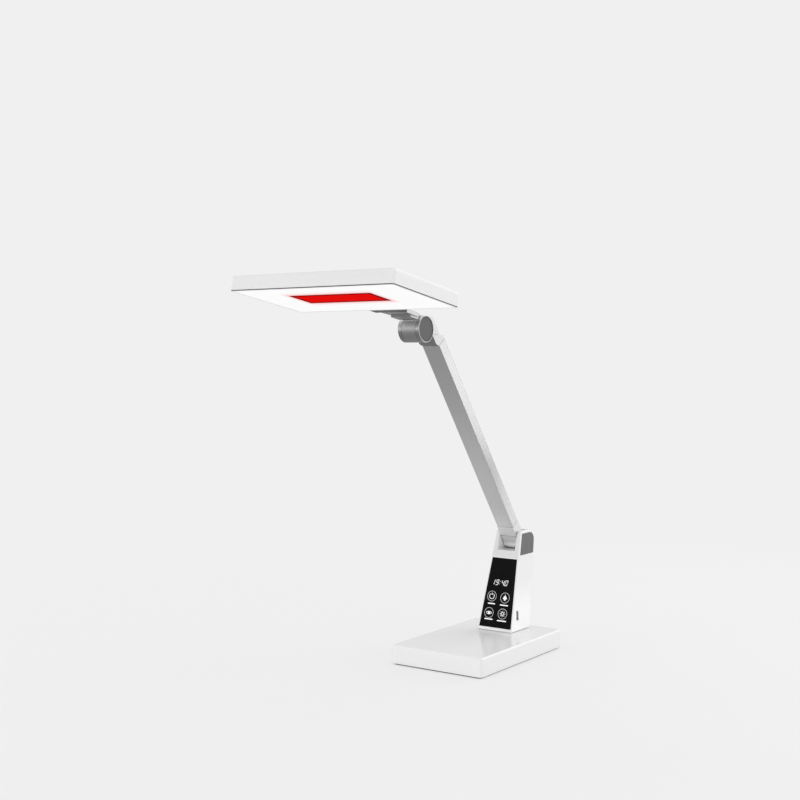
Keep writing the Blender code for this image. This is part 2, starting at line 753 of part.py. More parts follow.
def make_side_caps():
    for side, name in ((-1, "hinge_side_cap_left"), (1, "hinge_side_cap_right")):
        shape = on_stem_side(side, side_cap_outline(), GAP - SIDE_CAP_POCKET, SIDE_CAP_PROUD)
        piece(name, shape, DARK_GREY)


def make_lower_hinge_hardware():
    inner, outer = lower_hinge_faces()
    centre = (HINGE_Y, HINGE_Z)
    seat = inner + GAP
    bolt = [
        (LOWER_BOLT_RADIUS, -seat - LOWER_HEAD_HEIGHT),
        (LOWER_BOLT_RADIUS, seat),
        (LOWER_HEAD_RADIUS, seat),
        (LOWER_HEAD_RADIUS, seat + LOWER_HEAD_HEIGHT),
    ]
    piece("arm_hinge_bolt", turned(bolt, "X", centre, SMALL_STEPS), STEEL)
    nut = prism(circle(LOWER_HEAD_RADIUS, 6, centre), -seat - LOWER_HEAD_HEIGHT, -seat, "X")
    nut = piece("arm_hinge_nut", nut, STEEL)
    clear = LOWER_BOLT_RADIUS + GAP
    cut(nut, turned([(clear, -outer - OVERRUN), (clear, 0)], "X", centre, SMALL_STEPS))
    for side, name in ((-1, "arm_friction_washer_left"), (1, "arm_friction_washer_right")):
        low = side * (ARM_WIDTH / 2 + GAP)
        high = low + side * WASHER_THICKNESS
        shape = tube(LOWER_WASHER_RADIUS, clear, low, high, "X", centre, SMALL_STEPS)
        piece(name, shape, NYLON)


def make_stem_rear_cover():
    thickness = STEM_WALL / math.cos(REAR_LEAN)
    low = STEM_FOOT + GAP
    high = CAVITY_TOP - GAP
    outline = [
        (stem_rear(low) - thickness, low),
        (stem_rear(low), low),
        (stem_rear(high), high),
        (stem_rear(high) - thickness, high),
    ]
    piece("stem_rear_cover", across_stem(outline, -STEM_WALL - GAP), WHITE_GLOSS)


def make_stem_screws():
    for place, name in zip(stem_screw_places(), ("stem_screw_left", "stem_screw_right")):
        top = ROOF_LOW - GAP
        profile = [
            (STEM_SCREW_HEAD_RADIUS, top - STEM_SCREW_HEAD_HEIGHT),
            (STEM_SCREW_HEAD_RADIUS, top),
            (STEM_SCREW_RADIUS, top),
            (STEM_SCREW_RADIUS, top + STEM_SCREW_LENGTH),
        ]
        piece(name, turned(profile, "Z", place, SMALL_STEPS), STEEL)


# Display, in the front face's frame: Z up along the face, Y into the stem

def face_half_width(along):
    return STEM_WIDTH / 2 - math.tan(STEM_TAPER) * math.cos(FRONT_LEAN) * along


def face_outline(low, high, margin, corner):
    """A (x, along) outline whose sides follow the stem's own taper."""
    corners = [
        (-face_half_width(low) + margin, low),
        (face_half_width(low) - margin, low),
        (face_half_width(high) - margin, high),
        (-face_half_width(high) + margin, high),
    ]
    return rounded(corners, corner)


def on_face(point):
    """A place in space for a point (x, into the stem, along the face)."""
    x, inward, along = point
    y = STEM_FRONT + inward * math.cos(FRONT_LEAN) + along * math.sin(FRONT_LEAN)
    z = STEM_FOOT - inward * math.sin(FRONT_LEAN) + along * math.cos(FRONT_LEAN)
    return (x, y, z)


def leaning(outline, low, high):
    """A prism into the stem from its front face, in world places."""
    return surface([[on_face((x, depth, along)) for x, along in outline] for depth in (low, high)])


def glass_shape(depth, grow, proud):
    outline = face_outline(GLASS_LOW - grow, GLASS_HIGH + grow, GLASS_MARGIN - grow, GLASS_CORNER + grow)
    return leaning(outline, -proud, depth)


def touch_places():
    return [(side * TOUCH_X, row) for row in TOUCH_ROWS for side in (-1, 1)]


def display_openings():
    """Windows through the wall behind the glass: one for the clock, one for each touch spring."""
    clock = rectangle(CLOCK_WIDTH + 2 * GAP, CLOCK_HEIGHT + 2 * GAP, (0, CLOCK_ALONG))
    openings = [leaning(clock, 0, STEM_FRONT_WALL + OVERRUN)]
    for place in touch_places():
        hole = circle(TOUCH_SPRING_RADIUS + GAP, SMALL_STEPS, place)
        openings.append(leaning(hole, 0, STEM_FRONT_WALL + OVERRUN))
    return openings


def make_display():
    glass = face_outline(GLASS_LOW, GLASS_HIGH, GLASS_MARGIN, GLASS_CORNER)
    piece("display_glass", prism(glass, 0, GLASS_THICKNESS, "Y"), BLACK_GLASS, FACE)
    board = face_outline(GLASS_LOW + BOARD_MARGIN, GLASS_HIGH - BOARD_MARGIN, BOARD_MARGIN, 0)
    high = BOARD_SETBACK + BOARD_THICKNESS
    piece("display_board", prism(board, BOARD_SETBACK, high, "Y"), BOARD_GREEN, FACE)
    front = GLASS_THICKNESS + GAP
    back = BOARD_SETBACK - GAP
    clock = rectangle(CLOCK_WIDTH, CLOCK_HEIGHT, (0, CLOCK_ALONG))
    piece("clock_module", prism(clock, front, back, "Y"), BLACK_PLASTIC, FACE)
    for number, place in enumerate(touch_places(), 1):
        profile = [(TOUCH_SPRING_RADIUS, front), (TOUCH_SPRING_RADIUS, back)]
        piece(f"touch_spring_{number}", turned(profile, "Y", place, SMALL_STEPS), STEEL, FACE)


def make_charging_socket():
    centre = (SOCKET_Y, SOCKET_HEIGHT)
    mouth = stem_half_width(SOCKET_HEIGHT + SOCKET_TALL / 2)
    back = mouth - SOCKET_LENGTH
    outline = rounded(rectangle(SOCKET_WIDTH, SOCKET_TALL, centre), SOCKET_CORNER)
    shell = piece("charging_socket_shell", prism(outline, back, mouth, "X"), STEEL)
    inner = rectangle(SOCKET_WIDTH - 2 * SOCKET_WALL, SOCKET_TALL - 2 * SOCKET_WALL, centre)
    cut(shell, prism(inner, back + SOCKET_FLOOR, mouth + OVERRUN, "X"))
    tongue = rectangle(TONGUE_WIDTH, TONGUE_TALL, centre)
    low = back + SOCKET_FLOOR + GAP
    piece("charging_socket_tongue", prism(tongue, low, mouth - TONGUE_SETBACK, "X"), BLACK_PLASTIC)


# Arm

def tongue_size():
    shrink = 2 * (ARM_WALL + GAP)
    return ARM_WIDTH - shrink, ARM_THICKNESS - shrink


def arm_screw_hole(along):
    """The hole for one screw that comes in from the arm's back."""
    back = ARM_THICKNESS / 2
    floor = back - ARM_SCREW_HEAD_HEIGHT
    hole = ARM_SCREW_RADIUS + GAP
    head = ARM_SCREW_HEAD_RADIUS + GAP
    depth = back - ARM_SCREW_LENGTH - GAP
    profile = [(hole, depth), (hole, floor - GAP), (head, floor - GAP), (head, back + OVERRUN)]
    return turned(profile, "Y", (0, along), SMALL_STEPS)


def make_arm_lower_knuckle():
    half = ARM_THICKNESS / 2
    top = ARM_START - GAP
    turn = math.acos(half / KNUCKLE_RADIUS)
    rise = math.asin(KNUCKLE_FACE / KNUCKLE_RADIUS)
    groove = half - KNUCKLE_GROOVE_DEPTH
    under = arc(KNUCKLE_RADIUS, math.pi / 2 + rise, 2 * math.pi + turn, ROUND_STEPS // 2)
    outline = [
        (half, top),
        (-half, top),
        (-half, KNUCKLE_SHOULDER),
        (-groove, KNUCKLE_SHOULDER),
        (-groove, KNUCKLE_SHOULDER - KNUCKLE_GROOVE),
        (-KNUCKLE_FACE, KNUCKLE_SHOULDER - KNUCKLE_GROOVE),
    ] + under
    knuckle = piece("arm_lower_knuckle", prism(outline, -ARM_WIDTH / 2, ARM_WIDTH / 2, "X"), SILVER, ARM)
    width, depth = tongue_size()
    join(knuckle, prism(rectangle(width, depth), top - OVERLAP, ARM_START + TONGUE_LENGTH))
    bolt = LOWER_BOLT_RADIUS + GAP
    cut(knuckle, turned([(bolt, -ARM_WIDTH), (bolt, ARM_WIDTH)], "X", steps=SMALL_STEPS))
    cut(knuckle, lead_bore(-KNUCKLE_RADIUS - OVERRUN, ARM_START + TONGUE_LENGTH + OVERRUN))
    cut(knuckle, arm_screw_hole(ARM_START + ARM_SCREW_INSET))


def make_arm_profile():
    outline = rounded(rectangle(ARM_WIDTH, ARM_THICKNESS), ARM_CORNER)
    profile = piece("arm_profile", prism(outline, ARM_START, ARM_END), SILVER, ARM)
    inner = rectangle(ARM_WIDTH - 2 * ARM_WALL, ARM_THICKNESS - 2 * ARM_WALL)
    cut(profile, prism(inner, ARM_START - OVERRUN, ARM_END + OVERRUN))
    places = (ARM_START + ARM_SCREW_INSET, ARM_END - ARM_SCREW_INSET)
    cut(profile, several([arm_screw_hole(along) for along in places]))


def make_arm_screws():
    lower = ARM_START + ARM_SCREW_INSET
    places = (("arm_screw_lower", lower), ("arm_screw_upper", ARM_END - ARM_SCREW_INSET))
    back = ARM_THICKNESS / 2
    for name, along in places:
        profile = [
            (ARM_SCREW_RADIUS, back - ARM_SCREW_LENGTH),
            (ARM_SCREW_RADIUS, back - ARM_SCREW_HEAD_HEIGHT),
            (ARM_SCREW_HEAD_RADIUS, back - ARM_SCREW_HEAD_HEIGHT),
            (ARM_SCREW_HEAD_RADIUS, back),
        ]
        piece(name, turned(profile, "Y", (0, along), SMALL_STEPS), STEEL, ARM)


def lead_place():
    """The wire runs in front of the lower hinge's bolt, with a thin web between them."""
    return (0, -(LOWER_BOLT_RADIUS + LEAD_RADIUS + 2 * GAP + LEAD_WEB))


def lead_bore(low, high):
    bore = LEAD_RADIUS + GAP
    return turned([(bore, low), (bore, high)], "Z", lead_place(), SMALL_STEPS)


def make_arm_lead():
    side = LEAD_RADIUS - lead_place()[1]
    low = -math.sqrt(KNUCKLE_RADIUS**2 - side**2)
    shape = turned([(LEAD_RADIUS, low), (LEAD_RADIUS, ARM_END)], "Z", lead_place(), SMALL_STEPS)
    piece("arm_lead", shape, BLACK_PLASTIC, ARM)


def ear_outline():
    """An ear seen from the side: round at the front, running back to the plate behind."""
    axis = (-BARREL_FORWARD, BARREL_ALONG)
    front = arc(BARREL_RADIUS, math.pi - EAR_SPREAD, math.pi + EAR_SPREAD, ROUND_STEPS * 2 // 3, axis)
    top = BARREL_ALONG + PLATE_ABOVE_AXIS
    return front + [(-PLATE_REAR, COLLAR_LOW + COLLAR_SLOPE_RISE), (-PLATE_REAR, top)]


def make_arm_head_bracket():
    half = ARM_THICKNESS / 2
    top = BARREL_ALONG + PLATE_ABOVE_AXIS
    outline = [
        (half, COLLAR_LOW),
        (half, COLLAR_LOW + COLLAR_BACK_RISE),
        (-PLATE_REAR, COLLAR_LOW + COLLAR_SLOPE_RISE),
        (-PLATE_REAR, top),
        (-PLATE_FRONT, top),
        (-PLATE_FRONT, COLLAR_LOW + COLLAR_FRONT_RISE),
        (-half, COLLAR_LOW),
    ]
    bracket = piece("arm_head_bracket", prism(outline, -ARM_WIDTH / 2, ARM_WIDTH / 2, "X"), SILVER, ARM)
    axis = (-BARREL_FORWARD, BARREL_ALONG)
    saddle = BARREL_RADIUS + SADDLE_CLEARANCE
    cut(bracket, turned([(saddle, -BARREL_LENGTH), (saddle, BARREL_LENGTH)], "X", axis))
    ears = [prism(ear_outline(), side * EAR_INNER, side * BARREL_LENGTH / 2, "X") for side in (-1, 1)]
    join(bracket, several(ears))
    width, depth = tongue_size()
    join(bracket, prism(rectangle(width, depth), ARM_END - TONGUE_LENGTH, COLLAR_LOW + OVERLAP))
    inner, outer = upper_hinge_faces()
    shank = UPPER_BOLT_RADIUS + GAP
    head = UPPER_HEAD_RADIUS + GAP
    cap = BARREL_RADIUS - CAP_RIM
    end = BARREL_LENGTH / 2 + OVERRUN
    half_profile = [(shank, inner), (head, inner), (head, outer), (cap, outer), (cap, end)]
    mirrored = [(radius, -at) for radius, at in reversed(half_profile)]
    cut(bracket, turned(mirrored + half_profile, "X", axis))
    cut(bracket, lead_bore(ARM_END - TONGUE_LENGTH - OVERRUN, BARREL_ALONG))
    cut(bracket, arm_screw_hole(ARM_END - ARM_SCREW_INSET))


# Upper hinge

def upper_hinge_faces():
    """How far from the middle the bolt's head pocket ends, and the cap's pocket begins."""
    outer = BARREL_LENGTH / 2 - CAP_POCKET
    return outer - UPPER_HEAD_POCKET, outer


def make_upper_hinge_hardware():
    inner, outer = upper_hinge_faces()
    centre = (-BARREL_FORWARD, BARREL_ALONG)
    seat = inner + GAP
    bolt = [
        (UPPER_BOLT_RADIUS, -seat - UPPER_HEAD_HEIGHT),
        (UPPER_BOLT_RADIUS, seat),
        (UPPER_HEAD_RADIUS, seat),
        (UPPER_HEAD_RADIUS, seat + UPPER_HEAD_HEIGHT),
    ]
    piece("head_hinge_bolt", turned(bolt, "X", centre, SMALL_STEPS), STEEL, ARM)
    nut = prism(circle(UPPER_HEAD_RADIUS, 6, centre), -seat - UPPER_HEAD_HEIGHT, -seat, "X")
    nut = piece("head_hinge_nut", nut, STEEL, ARM)
    clear = UPPER_BOLT_RADIUS + GAP
    cut(nut, turned([(clear, -outer - OVERRUN), (clear, 0)], "X", centre, SMALL_STEPS))
    for side, name in ((-1, "head_friction_washer_left"), (1, "head_friction_washer_right")):
        high = side * SLEEVE_HALF
        low = high - side * UPPER_WASHER_THICKNESS
        shape = tube(UPPER_WASHER_RADIUS, clear, low, high, "X", centre, SMALL_STEPS)
        piece(name, shape, NYLON, ARM)


def make_barrel_caps():
    """The round caps: a dished face inside a raised rim."""
    centre = (-BARREL_FORWARD, BARREL_ALONG)
    radius = BARREL_RADIUS - CAP_RIM - GAP
    low = BARREL_LENGTH / 2 - CAP_POCKET + GAP
    for side, name in ((-1, "barrel_cap_left"), (1, "barrel_cap_right")):
        profile = [
            (radius, side * low),
            (radius, side * (low + CAP_THICKNESS)),
            (CAP_DISH_RADIUS, side * (low + CAP_THICKNESS)),
            (CAP_DISH_RADIUS - CAP_DISH, side * (low + CAP_THICKNESS - CAP_DISH)),
        ]
        piece(name, turned(profile, "X", centre), DARK_GREY, ARM)


# Neck

def neck_plan(end, half_start, half_end):
    """The neck seen from above: as narrow as the sleeve between the ears, then wider."""
    right = [
        (SLEEVE_HALF, 0),
        (SLEEVE_HALF, -NECK_SHOULDER),
        (half_start, -NECK_SHOULDER),
        (half_end, -min(end, NECK_FLARE_END)),
        (half_end, -end),
    ]
    return right + [(-x, y) for x, y in reversed(right)]


def make_neck_bracket():
    sleeve = turned([(BARREL_RADIUS, -SLEEVE_HALF), (BARREL_RADIUS, SLEEVE_HALF)], "X")
    neck = piece("neck_bracket", sleeve, CAST, HEAD)
    plan = neck_plan(NECK_END, NECK_HALF_START, NECK_HALF_END)
    plan = list(dict.fromkeys(plan))
    join(neck, prism(plan, NECK_LOW, NECK_TOP))
    rib = neck_plan(NECK_RIB_END, NECK_RIB_HALF, NECK_RIB_HALF)
    rib = list(dict.fromkeys(rib))
    join(neck, prism(rib, NECK_LOW - NECK_RIB_DROP, NECK_LOW + OVERLAP))
    recess = UPPER_WASHER_RADIUS + GAP
    bore = UPPER_BOLT_RADIUS + GAP
    floor = SLEEVE_HALF - UPPER_WASHER_THICKNESS - GAP
    half_profile = [(bore, floor), (recess, floor), (recess, SLEEVE_HALF + OVERRUN)]
    mirrored = [(radius, -at) for radius, at in reversed(half_profile)]
    cut(neck, turned(mirrored + half_profile, "X"))
    hole = SCREW_RADIUS + GAP
    profile = [(hole, NECK_LOW - OVERRUN), (hole, NECK_TOP + OVERRUN)]
    cut(neck, several([turned(profile, "Z", place, SMALL_STEPS) for place in neck_screw_places()]))


def neck_slot():
    """The (x, z) outline of the opening that the neck's flat plate passes through."""
    return rectangle(2 * (NECK_HALF_END + GAP), NECK_THICKNESS + 2 * GAP, (0, NECK_MIDDLE))


def neck_screw_places():
    return [(side * NECK_SCREW_X, NECK_SCREW_Y) for side in (-1, 1)]


def make_neck_screws():
    top = NECK_LOW - GAP
    for place, name in zip(neck_screw_places(), ("neck_screw_left", "neck_screw_right")):
        profile = [
            (SCREW_HEAD_RADIUS, top - SCREW_HEAD_HEIGHT),
            (SCREW_HEAD_RADIUS, top),
            (SCREW_RADIUS, top),
            (SCREW_RADIUS, top + NECK_SCREW_LENGTH),
        ]
        piece(name, turned(profile, "Z", place, SMALL_STEPS), STEEL, HEAD)


def make_neck_escutcheon():
    """The flat dark socket behind the panel, which the neck passes through."""
    front = -HEAD_FORWARD + GAP
    outline = rounded(rectangle(ESCUTCHEON_WIDTH, ESCUTCHEON_HEIGHT, (0, NECK_MIDDLE)), ESCUTCHEON_EDGE)
    socket = prism(outline, front, front + ESCUTCHEON_DEPTH, "Y")
    socket = piece("neck_escutcheon", socket, DARK_GREY, HEAD)
    cut(socket, prism(neck_slot(), front - OVERRUN, front + ESCUTCHEON_DEPTH + OVERRUN, "Y"))


# Head

def make_head_housing():
    middle = (0, HEAD_MIDDLE)
    rim = HEAD_RISE + SEAL_LIP + GAP
    outer = slab(HEAD_WIDTH, HEAD_DEPTH, HEAD_CORNER, rim, HEAD_TOP, middle, HEAD_EDGE)
    housing = piece("head_housing", outer, WHITE_GLOSS, HEAD)
    corner = HEAD_CORNER - HEAD_WALL
    cut(housing, slab(INNER_WIDTH, INNER_DEPTH, corner, HEAD_RISE - OVERRUN, HEAD_CEILING, middle))
    low = NECK_TOP + GAP
    profile = [(NECK_BOSS_RADIUS, low), (NECK_BOSS_RADIUS, HEAD_CEILING + OVERLAP)]
    join(housing, several([turned(profile, "Z", place, SMALL_STEPS) for place in neck_screw_places()]))
    hole = SCREW_RADIUS + GAP
    bore = [(hole, low - OVERRUN), (hole, NECK_LOW + NECK_SCREW_LENGTH)]
    holes = [turned(bore, "Z", place, SMALL_STEPS) for place in neck_screw_places()]
    rear = -HEAD_FORWARD
    holes.append(prism(neck_slot(), rear - HEAD_WALL - OVERLAP, rear + OVERRUN, "Y"))
    cut(housing, several(holes))


def notched(width, depth):
    """A rectangle in the head with a notch at its back, where the neck reaches in."""
    rear = HEAD_MIDDLE + depth / 2
    front = HEAD_MIDDLE - depth / 2
    notch = -(HEAD_FORWARD + NOTCH_DEPTH)
    return [
        (-width / 2, front),
        (width / 2, front),
        (width / 2, rear),
        (NOTCH_WIDTH / 2, rear),
        (NOTCH_WIDTH / 2, notch),
        (-NOTCH_WIDTH / 2, notch),
        (-NOTCH_WIDTH / 2, rear),
        (-width / 2, rear),
    ]


def led_grid(columns, rows, width, depth, centre):
    """Places spread evenly over a width and a depth about the middle line."""
    places = []
    for row in range(rows):
        for column in range(columns):
            x = (column / (columns - 1) - 1 / 2) * width
            places.append((x, centre + (row / (rows - 1) - 1 / 2) * depth))
    return places


def in_red_window(place, margin):
    x, y = place
    return abs(x) < RED_WIDTH / 2 + margin and abs(y + RED_FORWARD) < RED_DEPTH / 2 + margin


def in_notch(place, margin):
    x, y = place
    return abs(x) < NOTCH_WIDTH / 2 + margin and y > -(HEAD_FORWARD + NOTCH_DEPTH) - margin


def make_led_board():
    width = INNER_WIDTH - 2 * LED_BOARD_MARGIN
    depth = INNER_DEPTH - 2 * LED_BOARD_MARGIN
    outline = notched(width, depth)
    board = piece("led_board", prism(outline, LED_BOARD_LOW, LED_BOARD_HIGH), BOARD_WHITE, HEAD)
    chips = []
    lit = (width - 2 * LED_SIDE_INSET, depth - 2 * LED_END_INSET)
    for place in led_grid(LED_COLUMN_COUNT, LED_ROW_COUNT, *lit, HEAD_MIDDLE):
        if in_red_window(place, LED_SIZE) or in_notch(place, LED_SIZE):
            continue
        low = LED_BOARD_LOW - LED_HEIGHT
        chips.append(prism(rectangle(LED_SIZE, LED_SIZE, place), low, LED_BOARD_LOW + LED_HEIGHT))
    join(board, several(chips))


def make_red_led_board():
    high = LED_BOARD_LOW - GAP
    low = high - LED_BOARD_THICKNESS
    width = RED_WIDTH - 2 * RED_BOARD_SIDE_MARGIN
    depth = RED_DEPTH - 2 * RED_BOARD_END_MARGIN
    outline = rectangle(width, depth, (0, -RED_FORWARD))
    board = piece("red_led_board", prism(outline, low, high), BOARD_WHITE, HEAD)
    lit = (width - 2 * RED_LED_SIDE_INSET, depth - 2 * RED_LED_END_INSET)
    places = led_grid(RED_LED_COLUMN_COUNT, RED_LED_ROW_COUNT, *lit, -RED_FORWARD)
    chips = [rectangle(LED_SIZE, LED_SIZE, place) for place in places]
    join(board, several([prism(chip, low - LED_HEIGHT, low + LED_HEIGHT) for chip in chips]))


def make_reflector_tray():
    """A white frame of walls: one round the whole panel, one round the red window, and ribs."""
    width = INNER_WIDTH - 2 * TRAY_MARGIN
    depth = INNER_DEPTH - 2 * TRAY_MARGIN
    tray = piece("reflector_tray", prism(notched(width, depth), TRAY_LOW, TRAY_HIGH), WHITE_SATIN, HEAD)
    left = -width / 2 + TRAY_WALL
    front = HEAD_MIDDLE - depth / 2 + TRAY_WALL
    rear = HEAD_MIDDLE + depth / 2 - TRAY_WALL
    inner_left = -RED_WIDTH / 2 - TRAY_WALL
    inner_front = -RED_FORWARD - RED_DEPTH / 2 - TRAY_WALL
    inner_rear = -RED_FORWARD + RED_DEPTH / 2 + TRAY_WALL
    notch = -(HEAD_FORWARD + NOTCH_DEPTH) - TRAY_WALL
    half_notch = NOTCH_WIDTH / 2 + TRAY_WALL
    pockets = [
        [(inner_left, inner_front), (-inner_left, inner_front), (-inner_left, front), (inner_left, front)],
        rectangle(RED_WIDTH, RED_DEPTH, (0, -RED_FORWARD)),
    ]
    for side in (-1, 1):
        far = side * left
        near = side * (inner_left - TRAY_WALL)
        pockets.append([(far, front), (near, front), (near, rear), (far, rear)])
        start = side * inner_left
        step = -side * half_notch
        pockets.append([(start, inner_rear), (step, inner_rear), (step, rear), (start, rear)])
    middle = half_notch - 2 * TRAY_WALL
    pockets.append([(-middle, inner_rear), (middle, inner_rear), (middle, notch), (-middle, notch)])
    low, high = TRAY_LOW - OVERRUN, TRAY_HIGH + OVERRUN
    cut(tray, several([prism(outline, low, high) for outline in pockets]))


def make_diffuser():
    """The seal, the opal sheet inside it and the red window in the sheet.

    The seal's lip lies under the housing's rim, where it shows as a dark line.
    """
    middle = (0, HEAD_MIDDLE)
    outer = (INNER_WIDTH - 2 * GAP, INNER_DEPTH - 2 * GAP)
    corner = PANEL_CORNER + SEAL_WIDTH
    seal = slab(*outer, corner, HEAD_RISE, HEAD_RISE + DIFFUSER_THICKNESS, middle)
    seal = piece("diffuser_seal", seal, RUBBER, HEAD)
    lip = (HEAD_WIDTH - 2 * SEAL_LIP_INSET, HEAD_DEPTH - 2 * SEAL_LIP_INSET)
    join(seal, slab(*lip, HEAD_CORNER, HEAD_RISE, HEAD_RISE + SEAL_LIP, middle))
    inner = [size - 2 * SEAL_WIDTH for size in outer]
    cut(seal, slab(*inner, PANEL_CORNER, HEAD_RISE - OVERRUN, HEAD_RISE + OVERRUN, middle))
    sheet = [size - 2 * GAP for size in inner]
    high = HEAD_RISE + DIFFUSER_THICKNESS
    diffuser = piece("diffuser", slab(*sheet, PANEL_CORNER, HEAD_RISE, high, middle), OPAL, HEAD)
    window = (RED_WIDTH, RED_DEPTH)
    place = (0, -RED_FORWARD)
    cut(diffuser, slab(*window, RED_CORNER, HEAD_RISE - OVERRUN, high + OVERRUN, place))
    lens = [size - 2 * GAP for size in window]
    piece("red_lens", slab(*lens, RED_CORNER, HEAD_RISE, high, place), RED_LENS, HEAD)


make_anti_slip_pad()
make_base_bottom_cover()
make_base_screws()
make_base_top_shell()
make_ballast_plate()
make_power_board()
make_power_inlet()
make_stem_shell()
make_stem_rear_cover()
make_stem_screws()
make_display()
make_charging_socket()
make_side_caps()
make_lower_hinge_hardware()
make_arm_lower_knuckle()
make_arm_profile()
make_arm_screws()
make_arm_lead()
make_arm_head_bracket()
make_upper_hinge_hardware()
make_barrel_caps()
make_neck_bracket()
make_neck_screws()
make_neck_escutcheon()
make_head_housing()
make_led_board()
make_red_led_board()
make_reflector_tray()
make_diffuser()
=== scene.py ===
# %% [markdown]
# # A full spectrum desk lamp
#
# The lamp's solids come from its construction model, at their real size. This lesson dresses
# them: it makes the rounded casings, the printed display and the lit panel, and gives every
# surface its finish. Before each step a few sentences say what the real thing is, how it
# could be made, and why one way was chosen.

import math

import bmesh
import bpy
import numpy as np
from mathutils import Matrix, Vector


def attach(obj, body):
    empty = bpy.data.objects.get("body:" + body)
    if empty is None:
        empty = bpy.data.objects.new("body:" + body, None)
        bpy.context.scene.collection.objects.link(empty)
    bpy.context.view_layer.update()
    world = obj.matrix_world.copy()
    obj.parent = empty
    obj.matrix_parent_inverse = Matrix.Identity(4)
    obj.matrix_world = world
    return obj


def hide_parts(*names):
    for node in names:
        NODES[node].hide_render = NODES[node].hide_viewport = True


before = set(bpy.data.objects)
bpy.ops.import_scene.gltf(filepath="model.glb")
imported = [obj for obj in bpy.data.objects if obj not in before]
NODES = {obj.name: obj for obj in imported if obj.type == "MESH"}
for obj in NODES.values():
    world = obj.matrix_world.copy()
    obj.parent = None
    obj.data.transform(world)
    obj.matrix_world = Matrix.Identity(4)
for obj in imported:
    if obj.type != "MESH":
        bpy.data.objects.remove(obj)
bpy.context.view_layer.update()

# %% [markdown]
# ## The camera
#
# A camera could be placed by eye, but a photograph's straight edges give away where it was
# taken from, so these numbers were solved from the lamp's corners. It stands at the lamp's
# right front, a little above the table and below the lit panel. The focal length is kept in
# pixels of an 800 pixel frame, as it was measured.

# %% Camera
FRAME_PIXELS = 800
FOCAL_PIXELS = 1247.25
SENSOR_WIDTH = 36.0
CAMERA_PLACE = (0.8977, -1.4617, 0.4083)
CAMERA_YAW = math.radians(35.18)
CAMERA_PITCH = math.radians(-1.827)


def placed(name, data):
    """A new object that holds the data, linked to the scene."""
    thing = bpy.data.objects.new(name, data)
    bpy.context.scene.collection.objects.link(thing)
    return thing


lens = bpy.data.cameras.new("camera")
lens.sensor_width = SENSOR_WIDTH
lens.lens = FOCAL_PIXELS / FRAME_PIXELS * SENSOR_WIDTH
lens.clip_start, lens.clip_end = 0.05, 60.0
camera = placed("camera", lens)
camera.location = CAMERA_PLACE
camera.rotation_euler = (math.pi / 2 + CAMERA_PITCH, 0.0, CAMERA_YAW)
bpy.context.scene.camera = camera
print("lens", round(lens.lens, 1), "mm")

# %% [markdown]
# ## Measuring the solids
#
# A new piece has to lie exactly where its solid lies. Numbers copied from the construction
# model would go stale when it changes, so places are measured on the meshes: their vertices
# and triangles are read into arrays, all at once.

# %% Vertices and triangles as arrays
def read(items, field, width):
    """One field of many mesh items, as an array with one row for each item."""
    values = np.empty(width * len(items))
    items.foreach_get(field, values)
    return values.reshape(-1, width)


def corners(node):
    """A solid's vertices, one row each."""
    return read(NODES[node].data.vertices, "co", 3)


def triangles(node):
    """The normals, middles and areas of a solid's triangles."""
    items = NODES[node].data.polygons
    return read(items, "normal", 3), read(items, "center", 3), read(items, "area", 1)[:, 0]


print("the panel's sheet has", len(corners("diffuser")), "corners")

# %% [markdown]
# ## Frames of reference
#
# The stem, the arm and the head all lean. A piece could be modelled upright and turned into
# place, but a finished piece may not be turned here, so its points are worked out in a leaning
# frame and written in the lamp's own. A solid's largest flat face that looks a given way gives
# such a frame: its outward normal is the third axis, the lamp's own X the first, and their
# cross product the second.

# %% A frame of reference
class Place:
    """A frame of reference: an origin and three square axes, as arrays."""

    def __init__(self, origin, first, second, third):
        self.origin = np.asarray(origin, float)
        self.axes = np.array([first, second, third], float)

    def world(self, points):
        """Local points, with their coordinates last, as places in the lamp's own frame."""
        return self.origin + np.asarray(points, float) @ self.axes

    def box(self, node):
        """A solid's lowest and highest local coordinates."""
        points = (corners(node) - self.origin) @ self.axes.T
        return points.min(axis=0), points.max(axis=0)

    def middle(self, node):
        """The middle of a solid's local box."""
        return sum(self.box(node)) / 2

    def half(self, node):
        """Half the size of a solid's local box."""
        low, high = self.box(node)
        return (high - low) / 2

    def moved(self, shift):
        """The same axes about a new origin, given in local coordinates."""
        return Place(self.world(shift), *self.axes)

    def about(self, node):
        """The same axes with the third one running through a solid's middle."""
        return self.moved(self.middle(node) * (1, 1, 0))


X, Y, Z = np.eye(3)
TABLE = Place((0, 0, 0), X, Y, Z)
print("the base is", (1000 * np.subtract(*TABLE.box("base_top_shell")[::-1])).round(1), "mm")

# %% Frames measured on the solids
# Two cosines of directions that agree, and a distance between faces on one level.
ROUGHLY, SAME_WAY, SAME_LEVEL = 0.7, 0.9999, 0.00001


def measured_place(node, looks):
    """The frame of a solid's largest flat face that looks roughly the given way."""
    normals, middles, areas = triangles(node)
    facing = normals @ np.asarray(looks, float) > ROUGHLY
    best = np.argmax(np.where(facing, areas, 0.0))
    normal = normals[best] / np.linalg.norm(normals[best])
    flat = facing & (normals @ normal > SAME_WAY)
    flat &= np.abs((middles - middles[best]) @ normal) < SAME_LEVEL
    middle = (middles[flat] * areas[flat, None]).sum(axis=0) / areas[flat].sum()
    return Place(middle, X, np.cross(normal, X), normal)


